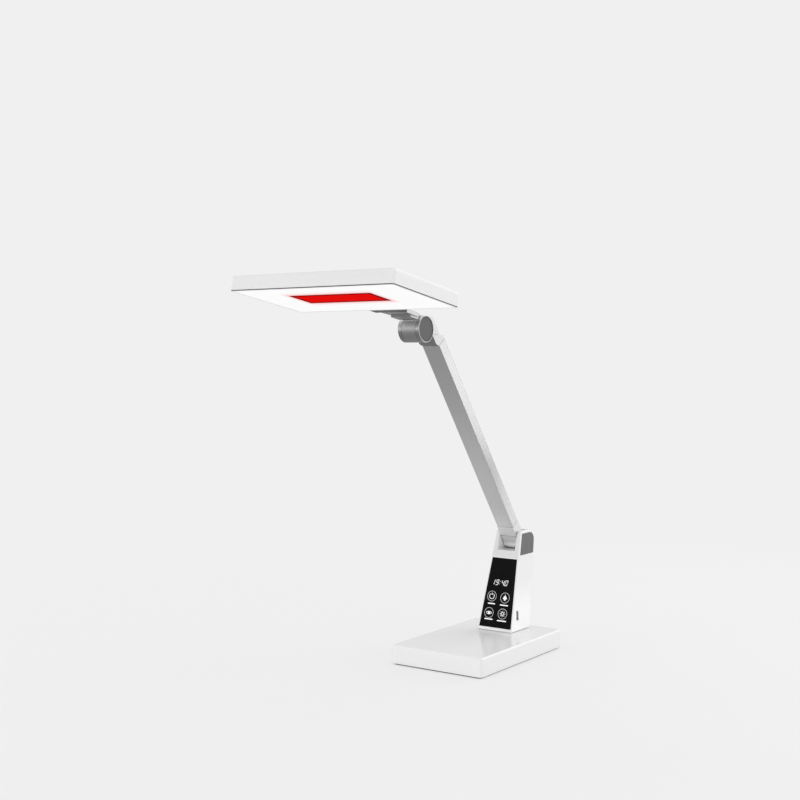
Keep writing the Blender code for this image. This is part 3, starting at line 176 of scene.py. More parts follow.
DISPLAY = measured_place("display_glass", (0, -1, 0))
ARM_FRONT = measured_place("arm_profile", (0, -1, -1))
PANEL = measured_place("diffuser", (0, 0, -1))
HEAD = Place(PANEL.origin, X, -PANEL.axes[1], -PANEL.axes[2])
ARM = Place(ARM_FRONT.origin, X, -ARM_FRONT.axes[2], ARM_FRONT.axes[1])
BARREL_CENTRE = (TABLE.middle("barrel_cap_left") + TABLE.middle("barrel_cap_right")) / 2
BARREL = Place(BARREL_CENTRE, Y, -Z, X)
for title, place in (("display", DISPLAY), ("arm", ARM_FRONT), ("panel", PANEL)):
    lean = math.degrees(math.asin(place.axes[2][2]))
    print(title, "faces", round(lean, 2), "degrees above level, middle", place.origin.round(4))

# %% [markdown]
# ## Surfaces
#
# A moulded or turned part could be built from stock shapes, one face at a time. Here every new
# piece is a grid of points worked out as a whole array: one parameter runs round an outline,
# the other along a profile, and four-sided faces join neighbouring rows into a skin. The
# formulas stay in sight, and nothing loops over single points.

# %% Skins
def skin(rings, looped=False):
    """Points in rings (rows, columns, 3) and the faces between them.

    Column j of row i joins column j + 1 of the same row and both of the next row. The last
    column joins the first. Looped rings close on themselves, and the others get an end face.
    """
    rows, columns = rings.shape[:2]
    index = np.arange(rows * columns).reshape(rows, columns)
    lower = index if looped else index[:-1]
    upper = np.roll(index, -1, axis=0) if looped else index[1:]
    right, above_right = np.roll(lower, -1, axis=1), np.roll(upper, -1, axis=1)
    faces = np.stack([lower, right, above_right, upper], axis=-1).reshape(-1, 4).tolist()
    if not looped:
        faces += [index[0, ::-1].tolist(), index[-1].tolist()]
    return rings.reshape(-1, 3), faces


def risen(rings, heights):
    """Flat rings (rows, columns, 2) lifted to one height for each row."""
    lift = np.broadcast_to(np.asarray(heights, float)[:, None, None], rings.shape[:2] + (1,))
    return np.concatenate([rings, lift], axis=-1)


def turned(place, radii, heights, steps=64, looped=False):
    """A solid of revolution about the place's third axis: (r cos a, r sin a, h)."""
    turn = np.linspace(0, 2 * math.pi, steps, endpoint=False)
    circle = np.stack([np.cos(turn), np.sin(turn)], axis=-1)
    rings = np.asarray(radii, float)[:, None, None] * circle
    return skin(place.world(risen(rings, heights)), looped)


def rod(place, x, y, radius, low, high, steps=32):
    """A plain rod between two heights, beside the place's third axis at (x, y)."""
    return turned(place.moved((x, y, 0)), (radius, radius), (low, high), steps)


print("a rod of 32 steps has", len(rod(TABLE, 0, 0, 1, 0, 1)[1]), "faces")

# %% [markdown]
# ## Rounded outlines
#
# Casings, tubes and windows are rounded rectangles, and moulding or polishing has eased their
# edges. A bevel could do so afterwards, but a formula keeps the rows even: an inset moves the
# outline inwards and takes the same length off the corner's radius, so one list of insets and
# heights draws wall, edge and roof.

# %% Rounded outlines and eased edges
LEAST_RADIUS = 0.00002


def rounded_rings(half_x, half_y, radius, insets, steps=8):
    """Rounded rectangles, one row for each inset: four quarter circles about their centres."""
    insets = np.asarray(insets, float)[:, None]
    corner = np.maximum(radius - insets, LEAST_RADIUS)
    quarter = np.linspace(0, math.pi / 2, steps)
    turn = np.concatenate([quarter + k * math.pi / 2 for k in range(4)])
    side_x, side_y = np.repeat([(1, -1, -1, 1), (1, 1, -1, -1)], steps, axis=1)
    x = side_x * (half_x - insets - corner) + corner * np.cos(turn)
    y = side_y * (half_y - insets - corner) + corner * np.sin(turn)
    return np.stack([x, y], axis=-1)


def eased_edge(radius, height, steps=6):
    """A quarter circle from a wall up to a flat face, as (insets, heights).

    The inset is r (1 - cos t) and the height is r (1 - sin t) short of the face.
    """
    turn = np.linspace(0, math.pi / 2, steps)
    return radius * (1 - np.cos(turn)), height - radius * (1 - np.sin(turn))


print("a rounded ring has", rounded_rings(1, 1, 0.1, [0]).shape[1], "points")

# %% [markdown]
# ## From a skin to a piece
#
# A piece is one object whose points already lie where they belong. It gets its finish, rides
# on the body that carries it, and may stand for a plainer solid, which is then hidden. Smooth
# shading alone would smear light over the flats; weighted normals let the large faces decide,
# so that an eased edge catches light as a thin line.

# %% Making and settling a piece
SMOOTH_ANGLE = math.radians(32)


def settle(thing, finish, body, replaces=()):
    """Gives a mesh object its finish and its place on a body."""
    thing.data.materials.clear()
    thing.data.materials.append(finish)
    thing.data.shade_smooth()
    thing.data.set_sharp_from_angle(angle=SMOOTH_ANGLE)
    thing.modifiers.new("even_shading", "WEIGHTED_NORMAL").keep_sharp = True
    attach(thing, body)
    if replaces:
        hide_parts(*replaces)
    print(thing.name, len(thing.data.polygons), "faces on", body)


def object_from(name, patches):
    """One mesh object from several skins, with its faces pointing outwards."""
    faces, start = [], 0
    for points, rows in patches:
        faces += [[index + start for index in row] for row in rows]
        start += len(points)
    mesh = bpy.data.meshes.new(name)
    mesh.from_pydata(np.concatenate([points for points, rows in patches]), [], faces)
    work = bmesh.new()
    work.from_mesh(mesh)
    bmesh.ops.recalc_face_normals(work, faces=work.faces)
    work.to_mesh(mesh)
    work.free()
    return placed(name, mesh)


print("pieces are smooth across edges below", round(math.degrees(SMOOTH_ANGLE)), "degrees")

# %% [markdown]
# ## Cutting, and easing a copy
#
# Holes could be left out of a skin and sewn up by hand, but a Boolean modifier cuts them with
# any closed skin, and its result is kept as the mesh. A solid whose shape is already right is
# not built again: its loose triangles are copied, merged into one skin, and a narrow bevel
# eases the sharp edges.

# %% Carved pieces and refined copies
MERGE_DISTANCE = 0.00001
FLAT_ANGLE, SHARP_ANGLE = math.radians(0.3), math.radians(40)
FINE_EASE = 0.00025


def carve(thing, patches, operation="DIFFERENCE"):
    """Cuts closed skins out of a piece, or joins them on, and keeps the result as its mesh."""
    tool = object_from("carving_tool", patches)
    modifier = thing.modifiers.new("carve", "BOOLEAN")
    modifier.operation = operation
    modifier.object = tool
    graph = bpy.context.evaluated_depsgraph_get()
    result = bpy.data.meshes.new_from_object(thing.evaluated_get(graph))
    thing.modifiers.remove(modifier)
    thing.data = result
    bpy.data.objects.remove(tool)
    return thing


def refined(name, node, edge=FINE_EASE):
    """A copy of a solid with its doubles merged, its flats joined and its edges eased."""
    work = bmesh.new()
    work.from_mesh(NODES[node].data)
    bmesh.ops.remove_doubles(work, verts=work.verts, dist=MERGE_DISTANCE)
    bmesh.ops.dissolve_limit(work, angle_limit=FLAT_ANGLE, verts=work.verts, edges=work.edges)
    mesh = bpy.data.meshes.new(name)
    work.to_mesh(mesh)
    work.free()
    thing = placed(name, mesh)
    ease = thing.modifiers.new("eased_edges", "BEVEL")
    ease.width = edge
    ease.segments = 2
    ease.limit_method = "ANGLE"
    ease.angle_limit = SHARP_ANGLE
    return thing


def dress(name, node, finish, body, edge=FINE_EASE):
    """Settles a refined copy that stands for its solid."""
    settle(refined(name, node, edge), finish, body, [node])


print("edges are eased by", 1000 * FINE_EASE, "mm")

# %% [markdown]
# ## Shader maths as Python
#
# A pattern is a sum of small sums, and drawn as nodes it is hard to read. So one class wraps a
# socket and turns Python's operators into Math nodes: `1 - mask * 0.2` adds two nodes and
# stands for the last one's output. Numbers alone are worked out in Python, and colours never
# pass through a Math node, which would turn them grey.

# %% Values
def operator(operation, reflected=False):
    """A Python operator that adds one Math node."""

    def method(self, other):
        pair = (other, self) if reflected else (self, other)
        return self.math(operation, *pair)

    return method


class Value:
    """An output socket that can be added, multiplied and compared."""

    def __init__(self, paint, socket):
        self.paint, self.socket = paint, socket

    def math(self, operation, first, second=0.0):
        return self.paint.node("Math", {"operation": operation}, {0: first, 1: second})

    __add__ = __radd__ = operator("ADD")
    __mul__ = __rmul__ = operator("MULTIPLY")
    __sub__, __rsub__ = operator("SUBTRACT"), operator("SUBTRACT", True)
    __truediv__, __rtruediv__ = operator("DIVIDE"), operator("DIVIDE", True)
    __pow__, __rpow__ = operator("POWER"), operator("POWER", True)
    least, most = operator("MINIMUM"), operator("MAXIMUM")

    def size(self):
        return self.math("ABSOLUTE", self)

    def sine(self):
        return self.math("SINE", self)

    def wave(self):
        """The value's sine, moved to run from 0 to 1."""
        return self.sine() * 0.5 + 0.5

    def rise(self, low, high):
        """0 below low, 1 above high, and a smooth step between them."""
        ends = {"Value": self, "From Min": low, "From Max": high}
        return self.paint.node("MapRange", {"interpolation_type": "SMOOTHSTEP"}, ends)


print("operators:", [name for name in vars(Value) if "__" in name][2:6], "and more")

# %% [markdown]
# ## Patterns from places
#
# One method adds every other node: it takes the node's type, its settings, and the values or
# links of its sockets. Patterns could be painted on unwrapped meshes, but these finishes are
# the same stuff all through, so they read the point's own place in metres. Their grain then
# has its real size on every piece, and stays put when a joint turns.

# %% Paint
class Paint:
    """The node tree of a new material, or of the world, under construction."""

    def __init__(self, name, world=None):
        self.owner = world or bpy.data.materials.new(name)
        self.owner.use_nodes = True
        self.tree = self.owner.node_tree

    def node(self, kind, settings=None, sockets=None, output=0):
        made = self.tree.nodes.new("ShaderNode" + kind)
        for name, value in (settings or {}).items():
            setattr(made, name, value)
        for name, value in (sockets or {}).items():
            self.feed(made.inputs[name], value)
        return Value(self, made.outputs[output])

    def feed(self, socket, value):
        """Links a value to a socket, or sets a number or a colour on it."""
        if isinstance(value, Value):
            self.tree.links.new(value.socket, socket)
        else:
            socket.default_value = (*value, 1.0) if socket.type == "RGBA" else value

    def place(self):
        """Object coordinates, in metres."""
        return self.node("TexCoord", output=3)

    def dot(self, vector, axis):
        pair = {0: vector, 1: tuple(axis)}
        return self.node("VectorMath", {"operation": "DOT_PRODUCT"}, pair, output=1)

    def faces(self, axis):
        """How squarely the surface looks along an axis: 1 straight along it, -1 against it."""
        return self.dot(self.node("TexCoord", output=1), axis)

    def seen_from(self, place):
        """A place's own first, second and third coordinates, as three values."""
        pair = {0: self.place(), 1: tuple(place.origin)}
        offset = self.node("VectorMath", {"operation": "SUBTRACT"}, pair)
        return [self.dot(offset, axis) for axis in place.axes]

    def joined(self, x, y, z=0.0):
        return self.node("CombineXYZ", {}, {0: x, 1: y, 2: z})

    def noise(self, size, detail=2.0, vector=None):
        """A cloudy 0 to 1 pattern whose blotches are about that size in metres."""
        sockets = {"Vector": vector or self.place(), "Scale": 1 / size, "Detail": detail}
        return self.node("TexNoise", {}, sockets)

    def cells(self, size):
        """A random 0 to 1 value for each grain of about that size in metres."""
        sockets = {"Vector": self.place(), "Scale": 1 / size}
        return self.node("SeparateXYZ", {}, {0: self.node("TexVoronoi", {}, sockets, output=1)})

    def mix(self, mask, first, second):
        """The first colour where the mask is 0, and the second where it is 1."""
        return self.node("Mix", {"data_type": "RGBA"}, {0: mask, 6: first, 7: second}, output=2)

    def vary(self, mask, colour, low, high):
        """The colour times the low factor where the mask is 0, and the high one where it is 1."""
        return self.mix(mask, tint(colour, low), tint(colour, high))

    def bump(self, height, depth):
        """A normal bent by a height pattern from 0 to 1 that stands for that depth in metres."""
        return self.node("Bump", {}, {"Strength": 1.0, "Distance": depth, "Height": height})

    def shade(self, **sockets):
        """Feeds the Principled shader, whose sockets are named in lower case with underscores."""
        shader = self.tree.nodes["Principled BSDF"]
        for name, value in sockets.items():
            self.feed(shader.inputs[name.replace("_", " ").title().replace("Ior", "IOR")], value)
        return self.owner


def grey(level):
    return (level, level, level)


def tint(colour, factor):
    return tuple(channel * factor for channel in colour)


print("patterns are written in metres; tint makes", tint((0.5, 0.4, 0.3), 0.5))

# %% [markdown]
# ## White plastic
#
# Base, stem and head are moulded in white plastic. Plain white would do from afar, but a mould
# leaves more: uneven shrinkage makes a reflection waver, which is the faint wave in the bump.
# The colour drifts by a hundredth, handling leaves haze in the gloss, and a speck of burnt
# resin turns up here and there. A paler white is painted as highlights along thin edges and as
# light on the base's front wall and the stem's lower sides, and black as a painted shade on the
# stem's front above the display. The edges' places are known from the casing's measured box, so
# they need no picture.

# %% White plastic
# The second white is painted light: highlights along edges, and light on the base's front and the
# stem's sides.
WHITE, PAINTED_LIGHT_WHITE = (0.83, 0.83, 0.835), (0.95, 0.95, 0.95)
RESIN_SPECK = (0.40, 0.37, 0.33)
SQUARELY = (0.85, 0.96)  # cosines between which a face comes to count as looking one way


def near_edges(paint, node, place, reach, front_share):
    """1 along a box-like solid's upper and upright edges, 0 away from them: a painted highlight.

    An axis counts 1 at the box's end and falls to 0 at the reach; an edge has two such axes.
    The front share weakens the edges that run from left to right.
    """
    half, top = place.half(node), place.box(node)[1][2]
    x, y, z = paint.seen_from(place.about(node))
    x, y = (1 - (end - along.size()).rise(0.0, reach) for end, along in zip(half, (x, y)))
    z = 1 - (top - z).rise(0.0, reach)
    return (x * y * front_share).most(y * z * front_share).most(x * z)


def base_painted_light(paint):
    """Painted highlight on the base's edges, and half the paler white as painted light on its
    front.
    """
    edges = near_edges(paint, "base_top_shell", TABLE, 0.0032, 0.5)
    return edges.most(paint.faces(-Y).rise(*SQUARELY) * 0.5)


# Painted highlight along the head's left and right top edges, but not along its front.
def head_painted_highlight(paint):
    return near_edges(paint, "head_housing", HEAD, 0.0055, 0.0)


def stem_painted_light(paint):
    """Painted light: the stem's sides grow paler towards the foot."""
    up = paint.seen_from(TABLE)[2]
    return paint.faces(X).size().rise(*SQUARELY) * (1 - up.rise(0.045, 0.105))


def stem_shade(paint):
    """The stem's front above the display lies in the arm's shade."""
    top = TABLE.box("display_glass")[1][2]
    up = paint.seen_from(TABLE)[2]
    return paint.faces(DISPLAY.axes[2]).rise(*SQUARELY) * up.rise(top, top + 0.003) * 0.1


def white_plastic(name, roughness, wave, wave_size=0.012, shine=0.5, painted_light=None, shade=None):
    """Moulded white plastic. The wave is the depth of its surface's unevenness in metres.

    One function gives the share of a paler white at each place, which is painted light and
    highlight; the other gives the share of black, which is painted shade.
    """
    paint = Paint(name)
    white = paint.vary(paint.noise(0.07), WHITE, 0.985, 1.01)
    if painted_light:
        white = paint.mix(painted_light(paint), white, PAINTED_LIGHT_WHITE)
    if shade:
        white = paint.mix(shade(paint), white, grey(0.0))
    speck = paint.cells(0.0009).rise(0.9991, 0.9994) * 0.3
    haze = paint.noise(0.02, 5.0).rise(0.45, 0.8) * 0.06
    return paint.shade(
        base_color=paint.mix(speck, white, RESIN_SPECK),
        roughness=haze + roughness,
        specular_ior_level=shine,
        normal=paint.bump(paint.noise(wave_size, 1.0) + paint.noise(0.0009, 1.0) * 0.06, wave),
    )


GLOSS = white_plastic("base_gloss", 0.16, 0.00002, shine=0.06, painted_light=base_painted_light)
HEAD_GLOSS = white_plastic("head_gloss", 0.22, 0.00002, shine=0.0, painted_light=head_painted_highlight)
STEM_GLOSS = white_plastic("stem_gloss", 0.16, 0.00002, 0.009, painted_light=stem_painted_light, shade=stem_shade)
SATIN = white_plastic("tray_satin", 0.42, 0.00003, 0.0015)
print("white", WHITE, "and", PAINTED_LIGHT_WHITE, "along the edges")

# %% [markdown]
# ## Silver lacquer
#
# The arm is an extruded aluminium tube under silver lacquer: extrusion leaves fine lines along
# it, and the lacquer holds metal flakes. Castings get the same lacquer. A perfect mirror would
# turn black where nothing stands to be mirrored, so the lacquer's tone is measured instead, and
# light and shade are painted into it: a painted shade that grows along the arm or round the
# hinge's barrel, and painted light on its side faces. Each is a function of the place.

# %% Silver lacquer
LINE_SPACING = 0.0005


def silver(name, place, tone, roughness, metallic, painted_shade, painted_side_light=None):
    """Silver lacquer over lines that run along the place's third axis.

    The shade function gives a painted shade: the share of black from the place's coordinates.
    The side level is painted light on the faces that look left and right: a grey level, or a
    function that gives it from the coordinates.
    """
    paint = Paint(name)
    spot = across, deep, along = paint.seen_from(place)
    stretched = paint.joined(across / LINE_SPACING, deep / LINE_SPACING, along / 0.05)
    lines = paint.noise(1.0, 2.0, stretched)
    colour = paint.vary((lines + paint.cells(0.0004)) * 0.5, grey(tone), 0.9, 1.1)
    # Painted shade: black mixed in by place. Painted light: a grey level of its own on the side
    # faces.
    colour = paint.mix(painted_shade(*spot), colour, grey(0.0))
    if painted_side_light:
        level = painted_side_light(*spot) if callable(painted_side_light) else painted_side_light
        sideways = paint.faces(X).size().rise(*SQUARELY)
        colour = paint.mix(sideways, colour, paint.mix(level, grey(0.0), grey(1.0)))
    return paint.shade(
        base_color=colour,
        metallic=metallic,
        roughness=lines * 0.08 + paint.noise(0.03) * 0.05 + roughness,
        normal=paint.bump(lines, 0.000006),
    )


print("lacquer lines are", 1000 * LINE_SPACING, "mm apart")

# %% [markdown]
# These tones are painted light and shade. The tube is brightest at its foot, and so are its
# sides, which mirror the table there: a painted reflection. The knuckle is painted darker above
# the slot, and paler where it sits in the slot's shadow. Light reaches the barrel from above, so
# a painted shade darkens its hub downwards, and the neck is painted dark all over.

# %% Where shade and light are painted on the silver
ARM_REACH, HUB_RADIUS = 0.16, 0.017


def tube_painted_shade(across, deep, along):
    """Painted shade: a darker step just above the foot, and a slow rise from there to the top."""
    return along.rise(-0.172, -0.115) * 0.18 + along.rise(-0.13, ARM_REACH) * 0.33


def tube_side_painted_light(across, deep, along):
    """Painted light on the sides: their grey level, which falls above the foot."""
    return 0.62 - along.rise(-ARM_REACH, -0.04) * 0.33


def knuckle_painted_shade(across, deep, along):
    """Painted shade: a short step to a darker tone where the knuckle leaves the slot."""
    return along.rise(-0.194, -0.186) * 0.30


def hub_painted_shade(forward, down, across):
    """Painted shade: 0 at the hub's top, and full a little below its middle."""
    return down.rise(-HUB_RADIUS, 0.45 * HUB_RADIUS) * 0.74


def hub_and_neck_painted_shade(forward, down, across):
    """The hub's painted shade, and one painted shade for all that lies outside its radius."""
    outside = ((forward * forward + down * down) ** 0.5).rise(HUB_RADIUS, 1.1 * HUB_RADIUS)
    return hub_painted_shade(forward, down, across).most(outside * 0.67)


# Painted light and shade: the tones and functions below stand for how light falls on the lacquer.
ARM_SILVER = silver("arm_silver", ARM, 0.62, 0.22, 0.85, tube_painted_shade, tube_side_painted_light)
KNUCKLE_SILVER = silver("knuckle_silver", ARM, 0.93, 0.30, 0.4, knuckle_painted_shade)
BARREL_SILVER = silver("barrel_silver", BARREL, 0.62, 0.32, 0.85, hub_painted_shade, 0.38)
NECK_SHADED_SILVER = silver("neck_painted_shade_silver", BARREL, 0.76, 0.43, 0.85, hub_and_neck_painted_shade, 0.44)
print("four silvers, the arm's from", round(2 * ARM_REACH, 2), "m of tube")

# %% [markdown]
# ## Grey and black plastic
#
# The hinge's side caps carry a brushed foil, whose streaks stand upright and vary in width.
# Covers and modules come from an eroded mould, which leaves a fine grain. All could be one
# flat dark grey, but the streaks and the grain are what tells foil from plastic.

# %% Foil and grained plastic
STREAK_SPACING = 0.0022


def streaked(name, tone, spacing):
    """Dark plastic under a brushed foil: upright streaks of uneven width."""
    paint = Paint(name)
    deep, up = paint.seen_from(TABLE)[1:]
    streak = paint.noise(1.0, 3.0, paint.joined(0.0, deep / spacing, up / 0.08)).rise(0.3, 0.7)
    return paint.shade(
        base_color=paint.vary(streak, tone, 0.80, 1.22),
        metallic=0.2,
        roughness=streak * 0.1 + 0.38,
        normal=paint.bump(streak, 0.00001),
    )


def grained(name, tone, roughness=0.5, grain=0.0004, depth=0.00002):
    """Plastic from an eroded mould: small hollows, and a slightly greasy sheen in patches."""
    paint = Paint(name)
    grains = paint.noise(grain, 3.0)
    wear = paint.noise(0.02, 4.0).rise(0.5, 0.8)
    return paint.shade(
        base_color=paint.vary(grains, tone, 0.85, 1.12),
        roughness=grains * 0.15 + wear * -0.1 + roughness,
        normal=paint.bump(grains, depth),
    )


CAP_GREY = streaked("hinge_cap_grey", (0.100, 0.100, 0.103), STREAK_SPACING)
SOCKET_GREY = grained("neck_socket_grey", (0.05, 0.05, 0.052))
COVER_BLACK = grained("cover_black", (0.028, 0.028, 0.029), 0.5, 0.0008, 0.00005)
MODULE_BLACK = grained("module_black", (0.02, 0.02, 0.021), 0.4, 0.0003, 0.00001)
INLET_BLACK = grained("inlet_black", (0.03, 0.03, 0.031), 0.35)
TONGUE_WHITE = grained("tongue_white", (0.70, 0.70, 0.69), 0.4, 0.0003, 0.00001)
print("foil streaks are", 1000 * STREAK_SPACING, "mm apart")

# %% [markdown]
# ## A disc turned on a lathe
#
# The caps on the barrel show rings round their centre. Real grooves would need thousands of
# faces, so the rings are a pattern: the distance from the barrel's axis, through a sine, and a
# little noise that keeps them from being perfect.

# %% Barrel disc finish
RING_SPACING = 0.0011


def ringed(name, tone):
    """Dark plastic with fine rings about the barrel's axis."""
    paint = Paint(name)
    forward, down = paint.seen_from(BARREL)[:2]
    radius = (forward * forward + down * down) ** 0.5 + paint.noise(0.004) * (0.3 * RING_SPACING)
    rings = (radius * (2 * math.pi / RING_SPACING)).wave()
    return paint.shade(
        base_color=paint.vary(rings, tone, 0.9, 1.12),
        roughness=rings * 0.08 + paint.noise(0.002, 4.0) * 0.1 + 0.36,
        specular_ior_level=0.3,
        normal=paint.bump(rings, 0.000012),
    )


DISC_GREY = ringed("barrel_disc_grey", (0.070, 0.070, 0.073))
print("barrel's axis at", BARREL_CENTRE.round(4))

# %% [markdown]
# ## The display
#
# Lamps sit behind the touch window, whose back is printed black except where the signs are.
# The print could be a picture, but a thin piece for each sign stays sharp at any distance.
# From outside one sees a deep gloss with a few fingerprints, and the signs lit evenly but for
# the lamps' slight mottling.

# %% Window and lit signs
SIGN_LEVEL, RING_LEVEL = 0.88, 0.42


def touch_black():
    """Black acrylic: a mirror with smudges where fingers land, and dust."""
    paint = Paint("window_black")
    smudge = paint.noise(0.009, 5.0).rise(0.52, 0.75)
    ridges = (paint.noise(0.004, 1.0) * 90.0).wave()
    dust = paint.cells(0.0007).rise(0.992, 0.995)
    return paint.shade(
        base_color=paint.mix(dust * 0.2, grey(0.005), grey(0.16)),
        roughness=smudge * (ridges * 0.06 + 0.05) + 0.03,
        specular_ior_level=0.05,
        normal=paint.bump(smudge * ridges, 0.000002),
    )


def lit(name, level):
    """A sign lit from behind, dimmer between the lamps."""
    paint = Paint(name)
    glow = paint.vary(paint.noise(0.0035), grey(level), 0.85, 1.0)
    grain = paint.vary(paint.noise(0.001), grey(0.25), 0.9, 1.1)
    return paint.shade(
        base_color=grain,
        roughness=0.35,
        emission_color=glow,
        emission_strength=1.0,
    )


WINDOW_BLACK = touch_black()
SIGN_WHITE = lit("sign_white", SIGN_LEVEL)
RING_WHITE = lit("ring_white", RING_LEVEL)
print("signs are lit at", SIGN_LEVEL, "and rings at", RING_LEVEL)

# %% [markdown]
# ## The lit panel
#
# The lamp's light comes through an opal sheet that scatters it, so the sheet looks evenly
# white. A red window near its middle carries red and infrared lamps, and its light leaks into
# the opal round it. Real scattering would be slow to render, so both sheets glow by
# themselves, and the leak is a halo that fades with the distance from the window's edges,
# further to the front than to the sides. A fine stipple hides the lamps' hot spots.

# %% Opal sheet and red window
PANEL_GLOW = 0.63
HALO_TINGE = (PANEL_GLOW, PANEL_GLOW * 0.5, PANEL_GLOW * 0.5)
RED_GLOW = (0.63, 0.003, 0.002)
HALO_SIDE, HALO_FRONT = 0.010, 0.016
STIPPLE = 0.0008


def beyond_red(paint):
    """How far a point lies past the red window's side edges and past its front or rear edge."""
    across, forward = paint.seen_from(PANEL.about("red_lens"))[:2]
    half = PANEL.half("red_lens")
    return across.size() - half[0], forward.size() - half[1]


def opal():
    """The white sheet, tinged with red inside an oval reach of the red window."""
    paint = Paint("opal_sheet")
    side, front = beyond_red(paint)
    side, front = side.most(0.0) / HALO_SIDE, front.most(0.0) / HALO_FRONT
    halo = (1 - (side * side + front * front) ** 0.5).most(0.0) ** 1.6
    glow = paint.vary(paint.noise(0.025), grey(PANEL_GLOW), 0.97, 1.0)
    return paint.shade(
        base_color=paint.mix(halo, grey(0.4), (0.4, 0.22, 0.22)),
        emission_color=paint.mix(halo, glow, HALO_TINGE),
        emission_strength=1.0,
        specular_ior_level=0.0,
        roughness=paint.noise(0.01) * 0.1 + 0.4,
        normal=paint.bump(paint.cells(STIPPLE), 0.00004),
    )


def red():
    """The red sheet, darker along its rim, where no lamp stands behind it."""
    paint = Paint("red_window")
    side, front = beyond_red(paint)
    rim = side.most(front).rise(-0.0058, -0.0034)
    glow = paint.vary(paint.noise(0.02, 1.0), RED_GLOW, 0.92, 1.04)
    return paint.shade(
        base_color=paint.mix(rim, (0.16, 0.002, 0.002), (0.05, 0.001, 0.001)),
        emission_color=paint.mix(rim, glow, tint(RED_GLOW, 0.2)),
        emission_strength=1.0,
        roughness=0.5,
        specular_ior_level=0.0,
        normal=paint.bump(paint.cells(STIPPLE), 0.00003),
    )


OPAL, RED = opal(), red()
print("the red window measures", (2000 * PANEL.half("red_lens")).round(1), "mm")
print("the halo reaches", 1000 * HALO_SIDE, "mm sideways and", 1000 * HALO_FRONT, "mm forward")

# %% [markdown]
# ## Circuit boards
#
# The opened lamp shows its boards: copper tracks under green or white mask, bright solder
# pads, and parts standing on them. Drawing real tracks would take a layout; the joints between
# offset bricks look much like them, and the cells of another pattern give round pads.

# %% Boards
GREEN, COPPER_GREEN = (0.03, 0.16, 0.07), (0.06, 0.30, 0.11)
BOARD_WHITE, COPPER_WHITE = (0.74, 0.74, 0.72), (0.62, 0.61, 0.57)
PART_OCHRE = (0.75, 0.62, 0.25)
BARE_SIDE = 1.0


def board(name, mask, copper, place, face=BARE_SIDE):
    """A circuit board: tracks, round pads, and parts above the local height of its face."""
    paint = Paint(name)
    across, along, above = paint.seen_from(place)
    flat = paint.joined(across, along)
    bricks = {"Scale": 260.0, "Mortar Size": 0.05, "Brick Width": 0.9, "Row Height": 0.35}
    tracks = paint.node("TexBrick", {"offset": 0.37}, {"Vector": flat, **bricks}, output=1)
    solder = 1 - paint.node("TexVoronoi", {}, {"Vector": flat, "Scale": 240.0}).rise(0.10, 0.14)
    parts = above.rise(face, face + 0.0001)
    bare = paint.mix(solder, paint.mix(tracks * 0.8, mask, copper), grey(0.65))
    bodies = paint.mix(paint.cells(0.004), grey(0.05), PART_OCHRE)
    return paint.shade(
        base_color=paint.mix(parts, bare, bodies),
        metallic=solder * (1 - parts),
        roughness=solder * -0.15 + 0.45,
        normal=paint.bump(tracks + solder, 0.00003),
    )


BEHIND_DISPLAY = Place(DISPLAY.origin, DISPLAY.axes[0], DISPLAY.axes[1], -DISPLAY.axes[2])
POWER_BOARD_FACE = TABLE.box("power_board")[0][2] + 0.0016
POWER_BOARD = board("power_board_green", GREEN, COPPER_GREEN, TABLE, POWER_BOARD_FACE)
DISPLAY_BOARD = board("display_board_green", GREEN, COPPER_GREEN, BEHIND_DISPLAY)
LAMP_BOARD = board("lamp_board_white", BOARD_WHITE, COPPER_WHITE, PANEL)
print("parts stand on the power board above", round(1000 * POWER_BOARD_FACE, 1), "mm")

# %% [markdown]
# ## Metal inside
#
# Screws are zinc plated and the hinges' bolts are bright: plating grows as small crystals,
# each a little lighter or darker. The touch keys' springs are wound wire, and their solids are
# plain sleeves, so the coils are bands of light and shadow. The ballast plate is steel under
# sprayed primer, with rust in a few pores.

# %% Plating, springs and primer
CRYSTAL = 0.0006
RUST = (0.22, 0.08, 0.03)


def plated(name, tone, roughness=0.3):
    """Plating: small crystals, and the marks of a tool under them."""
    paint = Paint(name)
    crystal = paint.cells(CRYSTAL)
    return paint.shade(
        base_color=paint.vary(crystal, tone, 0.8, 1.1),
        metallic=1.0,
        roughness=crystal * 0.15 + roughness,
        normal=paint.bump((paint.noise(0.0012, 3.0) * 40.0).wave(), 0.000008),
    )


def wound(name, tone, spacing, place):
    """Spring wire seen from outside: bright coils with shadows between them."""
    paint = Paint(name)
    coils = (paint.seen_from(place)[2] * (2 * math.pi / spacing)).wave()
    return paint.shade(
        base_color=paint.vary(coils, tone, 0.15, 1.0),
        metallic=coils,
        roughness=paint.noise(0.0005) * 0.1 + 0.3,
        normal=paint.bump(coils, 0.0002),
    )


def primer(name, tone):
    """Sprayed primer, cloudy, with a little rust in its pores."""
    paint = Paint(name)
    rust = paint.noise(0.004, 5.0).rise(0.68, 0.75)
    cloudy = paint.vary(paint.noise(0.03), tone, 0.8, 1.15)
    return paint.shade(
        base_color=paint.mix(rust, cloudy, RUST),
        metallic=0.2,
        roughness=rust * 0.3 + 0.55,
        normal=paint.bump(paint.noise(0.0015, 4.0), 0.00006),
    )


ZINC = plated("zinc_screws", (0.62, 0.63, 0.66))
BRIGHT = plated("bright_bolts", (0.66, 0.65, 0.62), 0.22)
POLISHED_STEEL = plated("socket_steel", (0.66, 0.66, 0.67), 0.25)
GOLD = plated("contact_gold", (0.92, 0.66, 0.28), 0.18)
SPRING = wound("spring_wire", (0.72, 0.70, 0.66), 0.0007, DISPLAY)
PRIMER = primer("ballast_primer", (0.10, 0.105, 0.11))
print("plating crystals are", 1000 * CRYSTAL, "mm wide")

